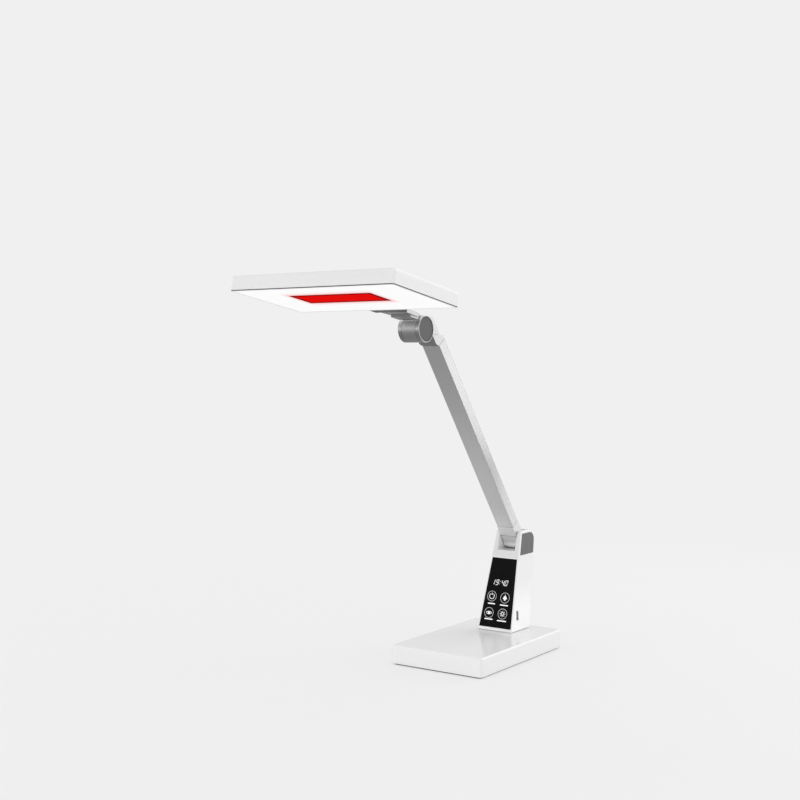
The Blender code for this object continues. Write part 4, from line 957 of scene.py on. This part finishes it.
# %% [markdown]
# ## Rubber, nylon and film
#
# The pad under the base is rubber with a pressed tread, two crossed sets of ridges. Washers
# are milky nylon. A film of pressed fibres insulates the power board, and a stranded lead runs
# up the arm. Round the panel goes a seal in two colours: its lip is the dark line that
# outlines the lit face, and its foot is pale, so that only the line shows.

# %% Tread and washers
TREAD_PITCH = 0.0032


def tread(name, tone, pitch):
    """Rubber with a pressed pattern of small diamonds, and dust in its grooves."""
    paint = Paint(name)
    across, along = paint.seen_from(TABLE)[:2]
    first = ((across + along) * (math.pi / pitch)).sine().size()
    second = ((across - along) * (math.pi / pitch)).sine().size()
    ridge = first.least(second).rise(0.0, 0.35)
    return paint.shade(
        base_color=paint.mix((1 - ridge) * 0.6, tone, grey(0.16)),
        roughness=paint.noise(0.001) * 0.2 + 0.7,
        normal=paint.bump(ridge, 0.0003),
    )


def nylon(name, tone):
    """Milky plastic: light enters it a little, and a cloudy tone shows the flow of the melt."""
    paint = Paint(name)
    return paint.shade(
        base_color=paint.vary(paint.noise(0.003), tone, 0.95, 1.05),
        roughness=paint.noise(0.001, 3.0) * 0.2 + 0.35,
        subsurface_weight=0.1,
        subsurface_scale=0.001,
        normal=paint.bump(paint.noise(0.0007, 2.0), 0.00001),
    )


RUBBER = tread("pad_rubber", (0.03, 0.03, 0.031), TREAD_PITCH)
NYLON = nylon("washer_nylon", (0.74, 0.73, 0.68))
print("tread diamonds are", 1000 * TREAD_PITCH, "mm wide")

# %% Seal, film and lead
def seal(name, lip, foot):
    """A seal: a dark lip on the faces that look sideways, and a pale foot on those that look down.
    """
    paint = Paint(name)
    dust = paint.noise(0.0006, 3.0)
    down = paint.faces(PANEL.axes[2]).rise(0.4, 0.7)
    return paint.shade(
        base_color=paint.mix(down, paint.vary(dust, lip, 0.8, 1.2), foot),
        roughness=dust * 0.2 + 0.7,
        specular_ior_level=0.0,
        normal=paint.bump(dust, 0.00001),
    )


def crossed(name, tone, pattern, place, depth):
    """Soft plastic whose fine pattern comes from a place's first and last coordinates."""
    paint = Paint(name)
    relief = pattern(*paint.seen_from(place))
    return paint.shade(
        base_color=paint.vary(relief, tone, 0.8, 1.2),
        roughness=relief * 0.15 + paint.noise(0.002) * 0.1 + 0.4,
        normal=paint.bump(relief, depth),
    )


def fibres(across, along, above):
    """Crossed threads: the product of two sines."""
    return (across * 4200.0).sine() * (along * 4200.0).sine() * 0.5 + 0.5


def strands(across, deep, along):
    """The slanting lay of a lead's strands: one sine of both coordinates."""
    return (along * 900.0 + across * 1800.0).wave()


SEAL = seal("seal_grey", (0.075, 0.075, 0.078), grey(0.86))
FILM = crossed("film_grey", (0.34, 0.35, 0.37), fibres, TABLE, 0.00002)
LEAD = crossed("lead_black", (0.03, 0.03, 0.03), strands, ARM, 0.00005)
print("made", SEAL.name, FILM.name, LEAD.name)

# %% [markdown]
# ## Solids that keep their shape
#
# Most inner parts are simple in life too, so their solids stay, and only their finish is
# exchanged. It is found by a word in the part's name: the first word that fits wins, which is
# why the seal comes before the sheet that it holds.

# %% Dressing the solids
INNER = {
    "screw": ZINC,
    "hinge_bolt": BRIGHT,
    "hinge_nut": BRIGHT,
    "washer": NYLON,
    "touch_spring": SPRING,
    "anti_slip_pad": RUBBER,
    "base_bottom_cover": COVER_BLACK,
    "ballast_plate": PRIMER,
    "insulating_film": FILM,
    "power_board": POWER_BOARD,
    "display_board": DISPLAY_BOARD,
    "clock_module": MODULE_BLACK,
    "arm_lead": LEAD,
    "diffuser_seal": SEAL,
    "diffuser": OPAL,
    "red_lens": RED,
    "led_board": LAMP_BOARD,
    "reflector_tray": SATIN,
    "charging_socket_tongue": TONGUE_WHITE,
}
for node, solid in NODES.items():
    for word, finish in INNER.items():
        if word in node:
            for holder in solid.material_slots:
                holder.material = finish
            break
kept = sum(any(word in node for word in INNER) for node in NODES)
print(kept, "solids keep their shape and get a finish")

# %% [markdown]
# ## The base
#
# The base is one moulding, open below: walls over a shadow gap, an eased edge round the top,
# and a flat roof that mirrors the stem. A box could be hollowed with modifiers, but one
# profile does it all: from the ceiling down the inside, round the rim and up the outside, each
# row says only how far in the outline lies and how high. Posts for screws are joined on, and
# then the holes are cut.

# %% A cup from one profile
# A rim's easing, the room round a screw, and how far a cutter reaches past a face.
LIP, CLEARANCE, PAST = 0.0003, 0.0003, 0.004


def cup(place, node, radius, edge, wall, roof, steps=12):
    """A box open below, as one skin from its ceiling round its rim to its top.

    Each row is the outline moved in by one inset and lifted to one height.
    """
    low, high = place.box(node)
    edge_in, edge_z = eased_edge(edge, high[2], steps=9)
    insets = [wall, wall, LIP, 0.0, 0.0, *edge_in]
    heights = [high[2] - roof, low[2], low[2], low[2] + LIP, high[2] - 2 * edge, *edge_z]
    rings = rounded_rings(*place.half(node)[:2], radius, insets, steps)
    return skin(place.about(node).world(risen(rings, heights)))


def rods(place, nodes, radius, low, high):
    """A rod at each node's middle, upright in the place."""
    return [rod(place, *place.middle(node)[:2], radius, low, high) for node in nodes]


def cup_with_posts(name, place, node, sizes, screws, post, bore, foot):
    """A cup with a post for each screw under its ceiling, and the rods that bore the posts."""
    ceiling = place.box(node)[1][2] - sizes["roof"]
    thing = object_from(name, [cup(place, node, **sizes)])
    carve(thing, rods(place, screws, post, foot, ceiling + LIP), "UNION")
    tip = place.box(screws[0])[1][2] + CLEARANCE
    return thing, rods(place, screws, bore, foot - PAST, tip)


print("a cup's rim is eased by", 1000 * LIP, "mm")

# %% Base casing
BASE_SIZES = {"radius": 0.0045, "edge": 0.0022, "wall": 0.0024, "roof": 0.0026}
BOSS_RADIUS, BOSS_BORE = 0.0042, 0.0018
SCREW_HOLE, WIRE_HOLE, INLET_HOLE = 0.0023, 0.0080, 0.0046


def base_casing():
    node, stem_screws = "base_top_shell", ("stem_screw_left", "stem_screw_right")
    high = TABLE.box(node)[1]
    screws = [f"base_screw_{number}" for number in (1, 2, 3, 4)]
    foot = TABLE.box("base_bottom_cover")[1][2] + CLEARANCE
    posts = (BOSS_RADIUS, BOSS_BORE, foot)
    thing, holes = cup_with_posts("base_casing", TABLE, node, BASE_SIZES, screws, *posts)
    through = (high[2] - BASE_SIZES["roof"] - PAST, high[2] + PAST)
    holes += rods(TABLE, stem_screws, SCREW_HOLE, *through)
    between = sum(TABLE.middle(screw) for screw in stem_screws) / 2
    holes.append(rod(TABLE, *between[:2], WIRE_HOLE, *through))
    rear = Place(TABLE.middle("power_inlet"), Z, X, Y)
    depth = high[1] - rear.origin[1]
    holes.append(rod(rear, 0, 0, INLET_HOLE, depth - 2 * BASE_SIZES["wall"], depth + PAST, 40))
    return carve(thing, holes)


settle(base_casing(), GLOSS, "base", ["base_top_shell"])

# %% [markdown]
# ## The stem and its fittings
#
# The stem's solid is already true to size, with its slot, sockets and posts. But a moulded
# part has no razor edges, and an eased edge is what draws the thin bright line along every
# corner in a photograph. So each visible solid here is not built again but copied, merged and
# eased, the socket's thin sleeve a little less.

# %% Stem, hinge caps, socket and inlet
STEM_EASE, SLEEVE_EASE = 0.0005, 0.0001

dress("stem_casing", "stem_shell", STEM_GLOSS, "base", STEM_EASE)
dress("stem_back", "stem_rear_cover", STEM_GLOSS, "base")
for side in ("left", "right"):
    dress(f"hinge_cap_{side}", f"hinge_side_cap_{side}", CAP_GREY, "base")
dress("socket_sleeve", "charging_socket_shell", POLISHED_STEEL, "base", SLEEVE_EASE)
dress("power_jack", "power_inlet", INLET_BLACK, "base")

# %% [markdown]
# The charging socket's tongue carries four contacts. Painted on they would be flat; real ones
# stand a little proud, and gold keeps them from corroding. The outer two reach further out, so
# that power joins before data.

# %% Socket contacts
CONTACT_WIDTH, CONTACT_PITCH, CONTACT_RISE = 0.0012, 0.0024, 0.00012
SHORT_CONTACT, LONG_CONTACT = 0.0064, 0.0074
TONGUE_TIP_MARGIN = 0.0008


def block(place, low, high):
    """A plain box between two corners, as a skin of two rows."""
    x, y = np.array([low[0], high[0], high[0], low[0]]), np.repeat([low[1], high[1]], 2)
    ring = np.stack([x, y], axis=-1)
    return skin(place.world(risen(np.stack([ring, ring]), (low[2], high[2]))))


def socket_contacts():
    low, high = TABLE.box("charging_socket_tongue")
    tip = high[0] - TONGUE_TIP_MARGIN
    patches = []
    for number, length in enumerate((LONG_CONTACT, SHORT_CONTACT, SHORT_CONTACT, LONG_CONTACT)):
        middle = (low[2] + high[2]) / 2 + (number - 1.5) * CONTACT_PITCH
        near = (tip - length, low[1] - CONTACT_RISE, middle - CONTACT_WIDTH / 2)
        patches.append(block(TABLE, near, (tip, low[1] + CONTACT_RISE, middle + CONTACT_WIDTH / 2)))
    return object_from("socket_contacts", patches)


settle(socket_contacts(), GOLD, "base")

# %% [markdown]
# ## The touch window
#
# The window is a thin acrylic plate that narrows upwards with the stem. It could be a
# rectangle with its top corners pulled in, and that is just what the formula does to a whole
# rounded outline: x is scaled by the height along the face. A small chamfer runs round the
# front.

# %% Touch window
LOW_EDGE = 0.0048
GLASS_CORNER, GLASS_CHAMFER, TOP_SHARE = 0.0009, 0.0002, 0.02
FACE = DISPLAY.moved((0, DISPLAY.box("display_glass")[0][1] - LOW_EDGE, 0))


def half_width(along):
    """Half the window's width at a height along the face, read off the solid's corners."""
    points = (corners("display_glass") - FACE.origin) @ FACE.axes.T
    foot, head = points[:, 1].min(), points[:, 1].max()
    share = (along - foot) / (head - foot)
    near_head = points[:, 1] > head - (head - foot) * TOP_SHARE
    low_half, high_half = np.abs(points[:, 0]).max(), np.abs(points[near_head, 0]).max()
    return low_half + (high_half - low_half) * share


def touch_window():
    """A rounded outline in three rows, with each x scaled to the face's width at that height."""
    low, high = FACE.box("display_glass")
    middle = (low[1] + high[1]) / 2
    rings = rounded_rings(half_width(middle), middle - low[1], GLASS_CORNER, [0, 0, GLASS_CHAMFER])
    points = risen(rings, (low[2], high[2] - GLASS_CHAMFER, high[2])) + (0, middle, 0)
    points[..., 0] *= half_width(points[..., 1]) / half_width(middle)
    return object_from("touch_window", [skin(FACE.world(points))])


settle(touch_window(), WINDOW_BLACK, "base", ["display_glass"])
print("window", round(2000 * half_width(LOW_EDGE), 1), "mm wide at its foot")

# %% [markdown]
# ## The clock
#
# The clock has seven-segment digits, which lean a little. A font's letters would have the
# wrong shape; a segment is simply a flat bar with pointed ends, so that neighbours meet at a
# mitre, and each digit is a choice of the seven bars.

# %% Clock digits
SIGN_LOW, SIGN_HIGH = 0.00002, 0.0001
DIGIT_BARS = {"1": "bc", "9": "abcdfg", "4": "bcfg", "0": "abcdef"}
LEVEL_BARS = {"a": (0, 1), "g": (0, 0), "d": (0, -1)}
UPRIGHT_BARS = {"b": (1, 0.5), "c": (1, -0.5), "e": (-1, -0.5), "f": (-1, 0.5)}
DIGIT_HALF_WIDTH, DIGIT_HALF_HEIGHT, BAR_THICKNESS = 0.00170, 0.00360, 0.00080
DIGIT_SLANT, MITRE_GAP = 0.26, 0.97
CLOCK_HEIGHT = 0.0682
CLOCK_DIGITS = {"1": -0.0124, "9": -0.0062, "4": 0.0030, "0": 0.0084}
COLON_X = -0.0017


def flat(outline):
    """A thin flat shape on the display's face."""
    return skin(FACE.world(risen(np.stack([outline, outline]), (SIGN_LOW, SIGN_HIGH))))


def bar(letter):
    """A six-sided bar about its place in a digit: two long sides and a point at each end."""
    standing = letter in UPRIGHT_BARS
    half, thick = (DIGIT_HALF_HEIGHT / 2 if standing else DIGIT_HALF_WIDTH), BAR_THICKNESS / 2
    along = np.array([-half, thick - half, half - thick, half, half - thick, thick - half])
    aside = np.array([0.0, -thick, -thick, 0.0, thick, thick])
    outline = np.stack((aside, along) if standing else (along, aside), axis=-1) * MITRE_GAP
    share_x, share_y = {**LEVEL_BARS, **UPRIGHT_BARS}[letter]
    return outline + (share_x * DIGIT_HALF_WIDTH, share_y * DIGIT_HALF_HEIGHT)


def clock_digits():
    """All bars and the colon's two dots, each x moved by its height times the slant."""
    outlines = []
    for digit, x in CLOCK_DIGITS.items():
        outlines += [bar(letter) + (x, 0) for letter in DIGIT_BARS[digit]]
    half = BAR_THICKNESS / 2
    dot = rounded_rings(half, half, BAR_THICKNESS / 5, [0.0], 4)[0]
    outlines += [dot + (COLON_X, side * DIGIT_HALF_HEIGHT / 2) for side in (-1, 1)]
    for outline in outlines:
        outline[:, 0] += outline[:, 1] * DIGIT_SLANT
    return object_from("clock_digits", [flat(outline + (0, CLOCK_HEIGHT)) for outline in outlines])


settle(clock_digits(), SIGN_WHITE, "base")

# %% [markdown]
# ## The touch keys
#
# Each key is a ring with a sign in it and a name bar under it: power, light mode, eye care and
# brightness. A sign could be cut from a sheet, but most are strokes, so they are ribbons: a
# path given by a formula, widened by the same amount on both sides. A ring is four circles in
# a closed loop, so it has a true hole.

# %% Strokes
STROKE = 0.0008


def arc(radius, start, end, steps=32):
    """Points of a circle's arc, from one angle to another in turns of a full circle."""
    turn = np.linspace(start, end, steps) * 2 * math.pi
    return radius * np.stack([np.cos(turn), np.sin(turn)], axis=-1)


def ribbon(path, width=STROKE):
    """An open path widened to both sides along its own normals."""
    ahead = np.gradient(np.asarray(path, float), axis=0)
    ahead /= np.linalg.norm(ahead, axis=1)[:, None]
    aside = np.stack([-ahead[:, 1], ahead[:, 0]], axis=-1) * width / 2
    return np.concatenate([path + aside, (path - aside)[::-1]])


def annulus(x, y, radius, width=STROKE):
    """A flat ring: a looped skin of four circles."""
    inner, outer = radius - width / 2, radius + width / 2
    heights = (SIGN_LOW, SIGN_LOW, SIGN_HIGH, SIGN_HIGH)
    return turned(FACE.moved((x, y, 0)), (inner, outer, outer, inner), heights, 72, True)


print("strokes are", 1000 * STROKE, "mm wide")

# %% Rings, signs and name bars
RING_RADIUS, RING_WIDTH = 0.0071, 0.00055
POWER, MODE = (-0.0118, 0.0480), (0.0096, 0.0475)
EYE, SUN = (-0.0128, 0.0245), (0.0093, 0.0249)
NAME_BARS = {
    (-0.0109, 0.0376): 0.0116,
    (0.0097, 0.0371): 0.0130,
    (-0.0121, 0.0156): 0.0132,
    (0.0093, 0.0150): 0.0146,
}
BAR_TALL = 0.0015


def touch_signs():
    """A broken ring with a stroke, a small lamp, an eye, and a sun with eight rays."""
    lid = arc(0.0056, 0.125, 0.375) - (0, 0.0038)
    shade = np.array([(-0.0036, -0.0012), (0.0036, -0.0012), (0.0014, 0.0024), (-0.0014, 0.0024)])
    bulb = arc(0.0019, 0.5, 1.0) * (1, 1.1) - (0, 0.0016)
    rays = [[arc(reach, turn / 8, 0, 1)[0] for reach in (0.0030, 0.0043)] for turn in range(8)]
    signs = {
        POWER: [ribbon(arc(0.0038, 0.33, 1.17)), ribbon([(0, 0.0014), (0, 0.0049)])],
        MODE: [shade, ribbon([(0, 0.0026), (0, 0.0047)]), bulb],
        EYE: [ribbon(lid * (1.1, -1)), ribbon(lid * (1.1, 1)), arc(0.0015, 0, 31 / 32)],
        SUN: [ribbon(ray) for ray in rays],
    }
    shapes = [flat(outline + spot) for spot, outlines in signs.items() for outline in outlines]
    return object_from("touch_signs", shapes + [annulus(*SUN, 0.0020)])


def name_bars():
    """Four rounded bars, which stand for the keys' names."""
    shapes = []
    for spot, width in NAME_BARS.items():
        outline = rounded_rings(width / 2, BAR_TALL / 2, BAR_TALL / 3, [0.0], 6)[0]
        shapes.append(flat(outline + spot))
    return object_from("name_bars", shapes)


rings = [annulus(*spot, RING_RADIUS, RING_WIDTH) for spot in (POWER, MODE, EYE, SUN)]
settle(object_from("touch_rings", rings), RING_WHITE, "base")
for print_on_glass in (touch_signs(), name_bars()):
    settle(print_on_glass, SIGN_WHITE, "base")

# %% [markdown]
# ## The arm
#
# The arm is an extruded tube: one outline all along, with a wall of even thickness. A solid
# bar would look the same from outside, but its ends would not. As a grid it is a looped skin:
# up the outside, in over the end, down the inside and back. Two screws come in from behind,
# and their heads sink into round recesses.

# %% Arm tube
ARM_SCREWS = ("arm_screw_lower", "arm_screw_upper")
TUBE_CORNER, TUBE_WALL, TUBE_EASE = 0.0014, 0.0016, 0.0002
RECESS, RECESS_DEPTH, SHANK_HOLE = 0.0037, 0.0013, 0.0023


def behind_arm(node, back):
    """A place that looks out of the arm's rear face where a screw sits."""
    x, y, along = ARM.middle(node)
    return Place(ARM.world((x, back, along)), ARM.axes[0], -ARM.axes[2], ARM.axes[1])


def arm_tube():
    low, high = ARM.box("arm_profile")
    insets = (TUBE_WALL, TUBE_EASE, 0.0, 0.0, TUBE_EASE, TUBE_WALL)
    heights = (low[2], low[2], low[2] + TUBE_EASE, high[2] - TUBE_EASE, high[2], high[2])
    rings = rounded_rings(*ARM.half("arm_profile")[:2], TUBE_CORNER, insets, 9)
    points = ARM.about("arm_profile").world(risen(rings, heights))
    thing = object_from("arm_tube", [skin(points, True)])
    radii = (SHANK_HOLE, SHANK_HOLE, RECESS, RECESS)
    depths = (-2 * TUBE_WALL, -RECESS_DEPTH, -RECESS_DEPTH, PAST)
    holes = [turned(behind_arm(node, high[1]), radii, depths, 40) for node in ARM_SCREWS]
    return carve(thing, holes)


settle(arm_tube(), ARM_SILVER, "arm", ["arm_profile"])
dress("arm_foot", "arm_lower_knuckle", KNUCKLE_SILVER, "arm")
dress("arm_fork", "arm_head_bracket", BARREL_SILVER, "arm")

# %% [markdown]
# The screws behind the arm have a hexagonal socket. It could be modelled into the head, but
# cutting is simpler: a six-sided prism is a turned shape with only six steps.

# %% Arm screws
KEY_RADIUS, KEY_DEPTH, SCREW_EASE = 0.00145, 0.0008, 0.0002

for node in ARM_SCREWS:
    behind = behind_arm(node, ARM.box(node)[1][1])
    screw = refined(node.replace("screw", "key_screw"), node, SCREW_EASE)
    carve(screw, [rod(behind, 0, 0, KEY_RADIUS, -KEY_DEPTH, PAST, 6)])
    settle(screw, ZINC, "arm", [node])

# %% [markdown]
# ## The barrel's discs
#
# A disc closes each end of the upper hinge. It is a solid of revolution, as if from a lathe: a
# rim with an eased edge, a step down, a shallow dish and a low boss in the middle. The left
# disc is not mirrored, which would turn its faces inside out, but built looking the other way.

# %% Barrel discs
DISC_EASE, DISC_RIM, DISC_STEP, DISC_BOSS, BOSS_DIP = 0.00025, 0.0011, 0.00040, 0.0040, 0.0001


def barrel_disc(side, outward):
    """Radii and heights from the inner face round the rim to the middle, turned on the axis."""
    node = f"barrel_cap_{side}"
    place = Place(BARREL_CENTRE * (0, 1, 1), Y, np.cross(outward, Y), outward)
    low, high = place.box(node)
    radius, inside, top = high[0], low[2], high[2]
    ease_in, ease_z = eased_edge(DISC_EASE, top)
    step, dish = radius - DISC_RIM, top - DISC_STEP
    radii = [radius - DISC_EASE, radius, *(radius - ease_in)]
    radii += [step, step - DISC_STEP, DISC_BOSS + DISC_STEP, DISC_BOSS]
    heights = [inside, inside + DISC_EASE, *ease_z, top, dish, dish - BOSS_DIP, dish]
    disc = object_from(f"barrel_disc_{side}", [turned(place, radii, heights, 96)])
    settle(disc, DISC_GREY, "arm", [node])


barrel_disc("left", -X)
barrel_disc("right", X)

# %% [markdown]
# ## The head and its neck
#
# The head is a shallow cup like the base, with a wider eased edge, so the same profile makes
# it in the head's own leaning frame. The neck's flat plate enters through a slot in the rear
# wall, and two posts inside take its screws. The neck and the socket round the slot are true
# to size, so they are only refined.

# %% Head casing
HEAD_SIZES = {"radius": 0.0035, "edge": 0.0028, "wall": 0.0016, "roof": 0.0022}
SLOT_HALF_WIDTH, SLOT_HALF_HEIGHT = 0.0203, 0.0029
POST_RADIUS, POST_BORE = 0.0038, 0.0018


def head_casing():
    node, screws = "head_housing", ("neck_screw_left", "neck_screw_right")
    rear, neck = HEAD.box(node)[1][1], HEAD.middle("neck_escutcheon")[2]
    posts = (POST_RADIUS, POST_BORE, neck + SLOT_HALF_HEIGHT)
    thing, holes = cup_with_posts("head_casing", HEAD, node, HEAD_SIZES, screws, *posts)
    near = (-SLOT_HALF_WIDTH, rear - 2 * HEAD_SIZES["wall"], neck - SLOT_HALF_HEIGHT)
    far = (SLOT_HALF_WIDTH, rear + PAST, neck + SLOT_HALF_HEIGHT)
    return carve(thing, [*holes, block(HEAD, near, far)])


settle(head_casing(), HEAD_GLOSS, "head", ["head_housing"])
dress("neck", "neck_bracket", NECK_SHADED_SILVER, "head")
dress("neck_socket", "neck_escutcheon", SOCKET_GREY, "head")

# %% [markdown]
# ## Table and background
#
# The lamp stands on a pale table that runs into a pale background without a visible edge. A
# bent sheet of paper does that in a studio. Here the floor takes the lamp's shadow near it and
# turns, with the distance, into a plain tone. Only the camera and reflections see that tone,
# so it adds no light; the world does the same trick behind it.

# %% Floor and background
BACKDROP, WORLD_LEVEL = 0.871, 0.83
FLOOR_HALF, FLOOR_ALBEDO = 12.0, 0.92
SHADOW_SHARE, NEAR, FAR = 0.55, 0.35, 1.4


def seen_rays(paint):
    """1 for rays from the camera, in reflections and through glass, else 0."""
    camera_ray, glossy, through = [paint.node("LightPath", output=index) for index in (0, 3, 6)]
    return camera_ray.most(glossy).most(through)


def shown(paint, share, first, second, output):
    """Ends in a blend of two shaders: the first where the share is 0, the second where it is 1."""
    blend = paint.node("MixShader", {}, {0: share, 1: first, 2: second})
    paint.feed(paint.tree.nodes[output].inputs["Surface"], blend)


def make_floor():
    """A level square about the lamp, whose own glow grows with the distance from it."""
    corner_points = np.array([(-1, -1, 0), (1, -1, 0), (1, 1, 0), (-1, 1, 0)]) * FLOOR_HALF
    mesh = bpy.data.meshes.new("floor")
    mesh.from_pydata(corner_points, [], [(0, 1, 2, 3)])
    paint = Paint("table_top")
    x, y = paint.seen_from(TABLE)[:2]
    plain = ((x * x + y * y) ** 0.5).rise(NEAR, FAR) * (1 - SHADOW_SHARE) + SHADOW_SHARE
    cloudy = paint.vary(paint.noise(0.3), grey(FLOOR_ALBEDO), 0.995, 1.0)
    paint.shade(base_color=cloudy, roughness=0.6, specular_ior_level=0.1)
    glow = paint.node("Emission", {}, {"Color": grey(BACKDROP), "Strength": 1.0})
    body = Value(paint, paint.tree.nodes["Principled BSDF"].outputs[0])
    shown(paint, plain * seen_rays(paint), body, glow, "Material Output")
    mesh.materials.append(paint.owner)
    placed("floor", mesh)


def make_world():
    """One grey lights the lamp, and another is seen behind it."""
    world = bpy.data.worlds.new("studio")
    bpy.context.scene.world = world
    paint = Paint("studio", world)
    lit_sky = Value(paint, paint.tree.nodes["Background"].outputs[0])
    paint.feed(paint.tree.nodes["Background"].inputs["Color"], grey(WORLD_LEVEL))
    seen_sky = paint.node("Background", {}, {"Color": grey(BACKDROP)})
    shown(paint, seen_rays(paint), lit_sky, seen_sky, "World Output")


make_floor()
make_world()
print("background", round(255 * (1.055 * BACKDROP ** (1 / 2.4) - 0.055)), "of 255")

# %% [markdown]
# ## Lamps
#
# A soft surround does most of the work, and five soft boxes draw the shape. Small bright lamps
# would leave hard spots. A flat face shows a box only where the camera's line of sight bounces
# to it, so each has one task: the side box whitens the faces on the right, the edge box and
# the top box run along the upper edges, the front box makes the bright band on the barrel, and
# the right box lifts the right sides out of their own shadow.

# %% Soft boxes
def soft_box(name, place, target, size, level):
    """An area lamp that faces the target. The level is its brightness per unit of its area."""
    lamp = bpy.data.lights.new(name, "AREA")
    lamp.shape = "RECTANGLE"
    lamp.size, lamp.size_y = size
    lamp.energy = level * math.pi * size[0] * size[1]
    holder = placed(name, lamp)
    holder.location = place
    holder.rotation_euler = (Vector(target) - Vector(place)).to_track_quat("-Z", "Y").to_euler()
    holder.visible_camera = False
    print(name, round(lamp.energy, 1), "W")


soft_box("side_box", (1.25, 1.95, 0.62), (0.0, 0.0, 0.3), (0.8, 1.1), 3.0)
soft_box("edge_box", (0.2, 2.6, 1.9), (0.0, 0.0, 0.3), (1.0, 0.7), 3.0)
soft_box("top_box", (-1.25, -0.3, 2.1), (0.0, -0.1, 0.2), (0.7, 0.7), 1.0)
soft_box("front_box", (-1.5, -2.4, 0.46), (0.0, -0.1, 0.3), (1.2, 0.6), 4.0)
soft_box("right_box", (2.2, -0.5, 0.5), (0.0, 0.0, 0.1), (1.0, 0.8), 1.8)

# %% [markdown]
# ## View settings
#
# A film-like view would soften bright tones and grey the whites. The standard view shows each
# colour as it was written, as a catalogue photograph does.

# %% View settings
bpy.context.scene.view_settings.view_transform = "Standard"
print("view:", bpy.context.scene.view_settings.view_transform)
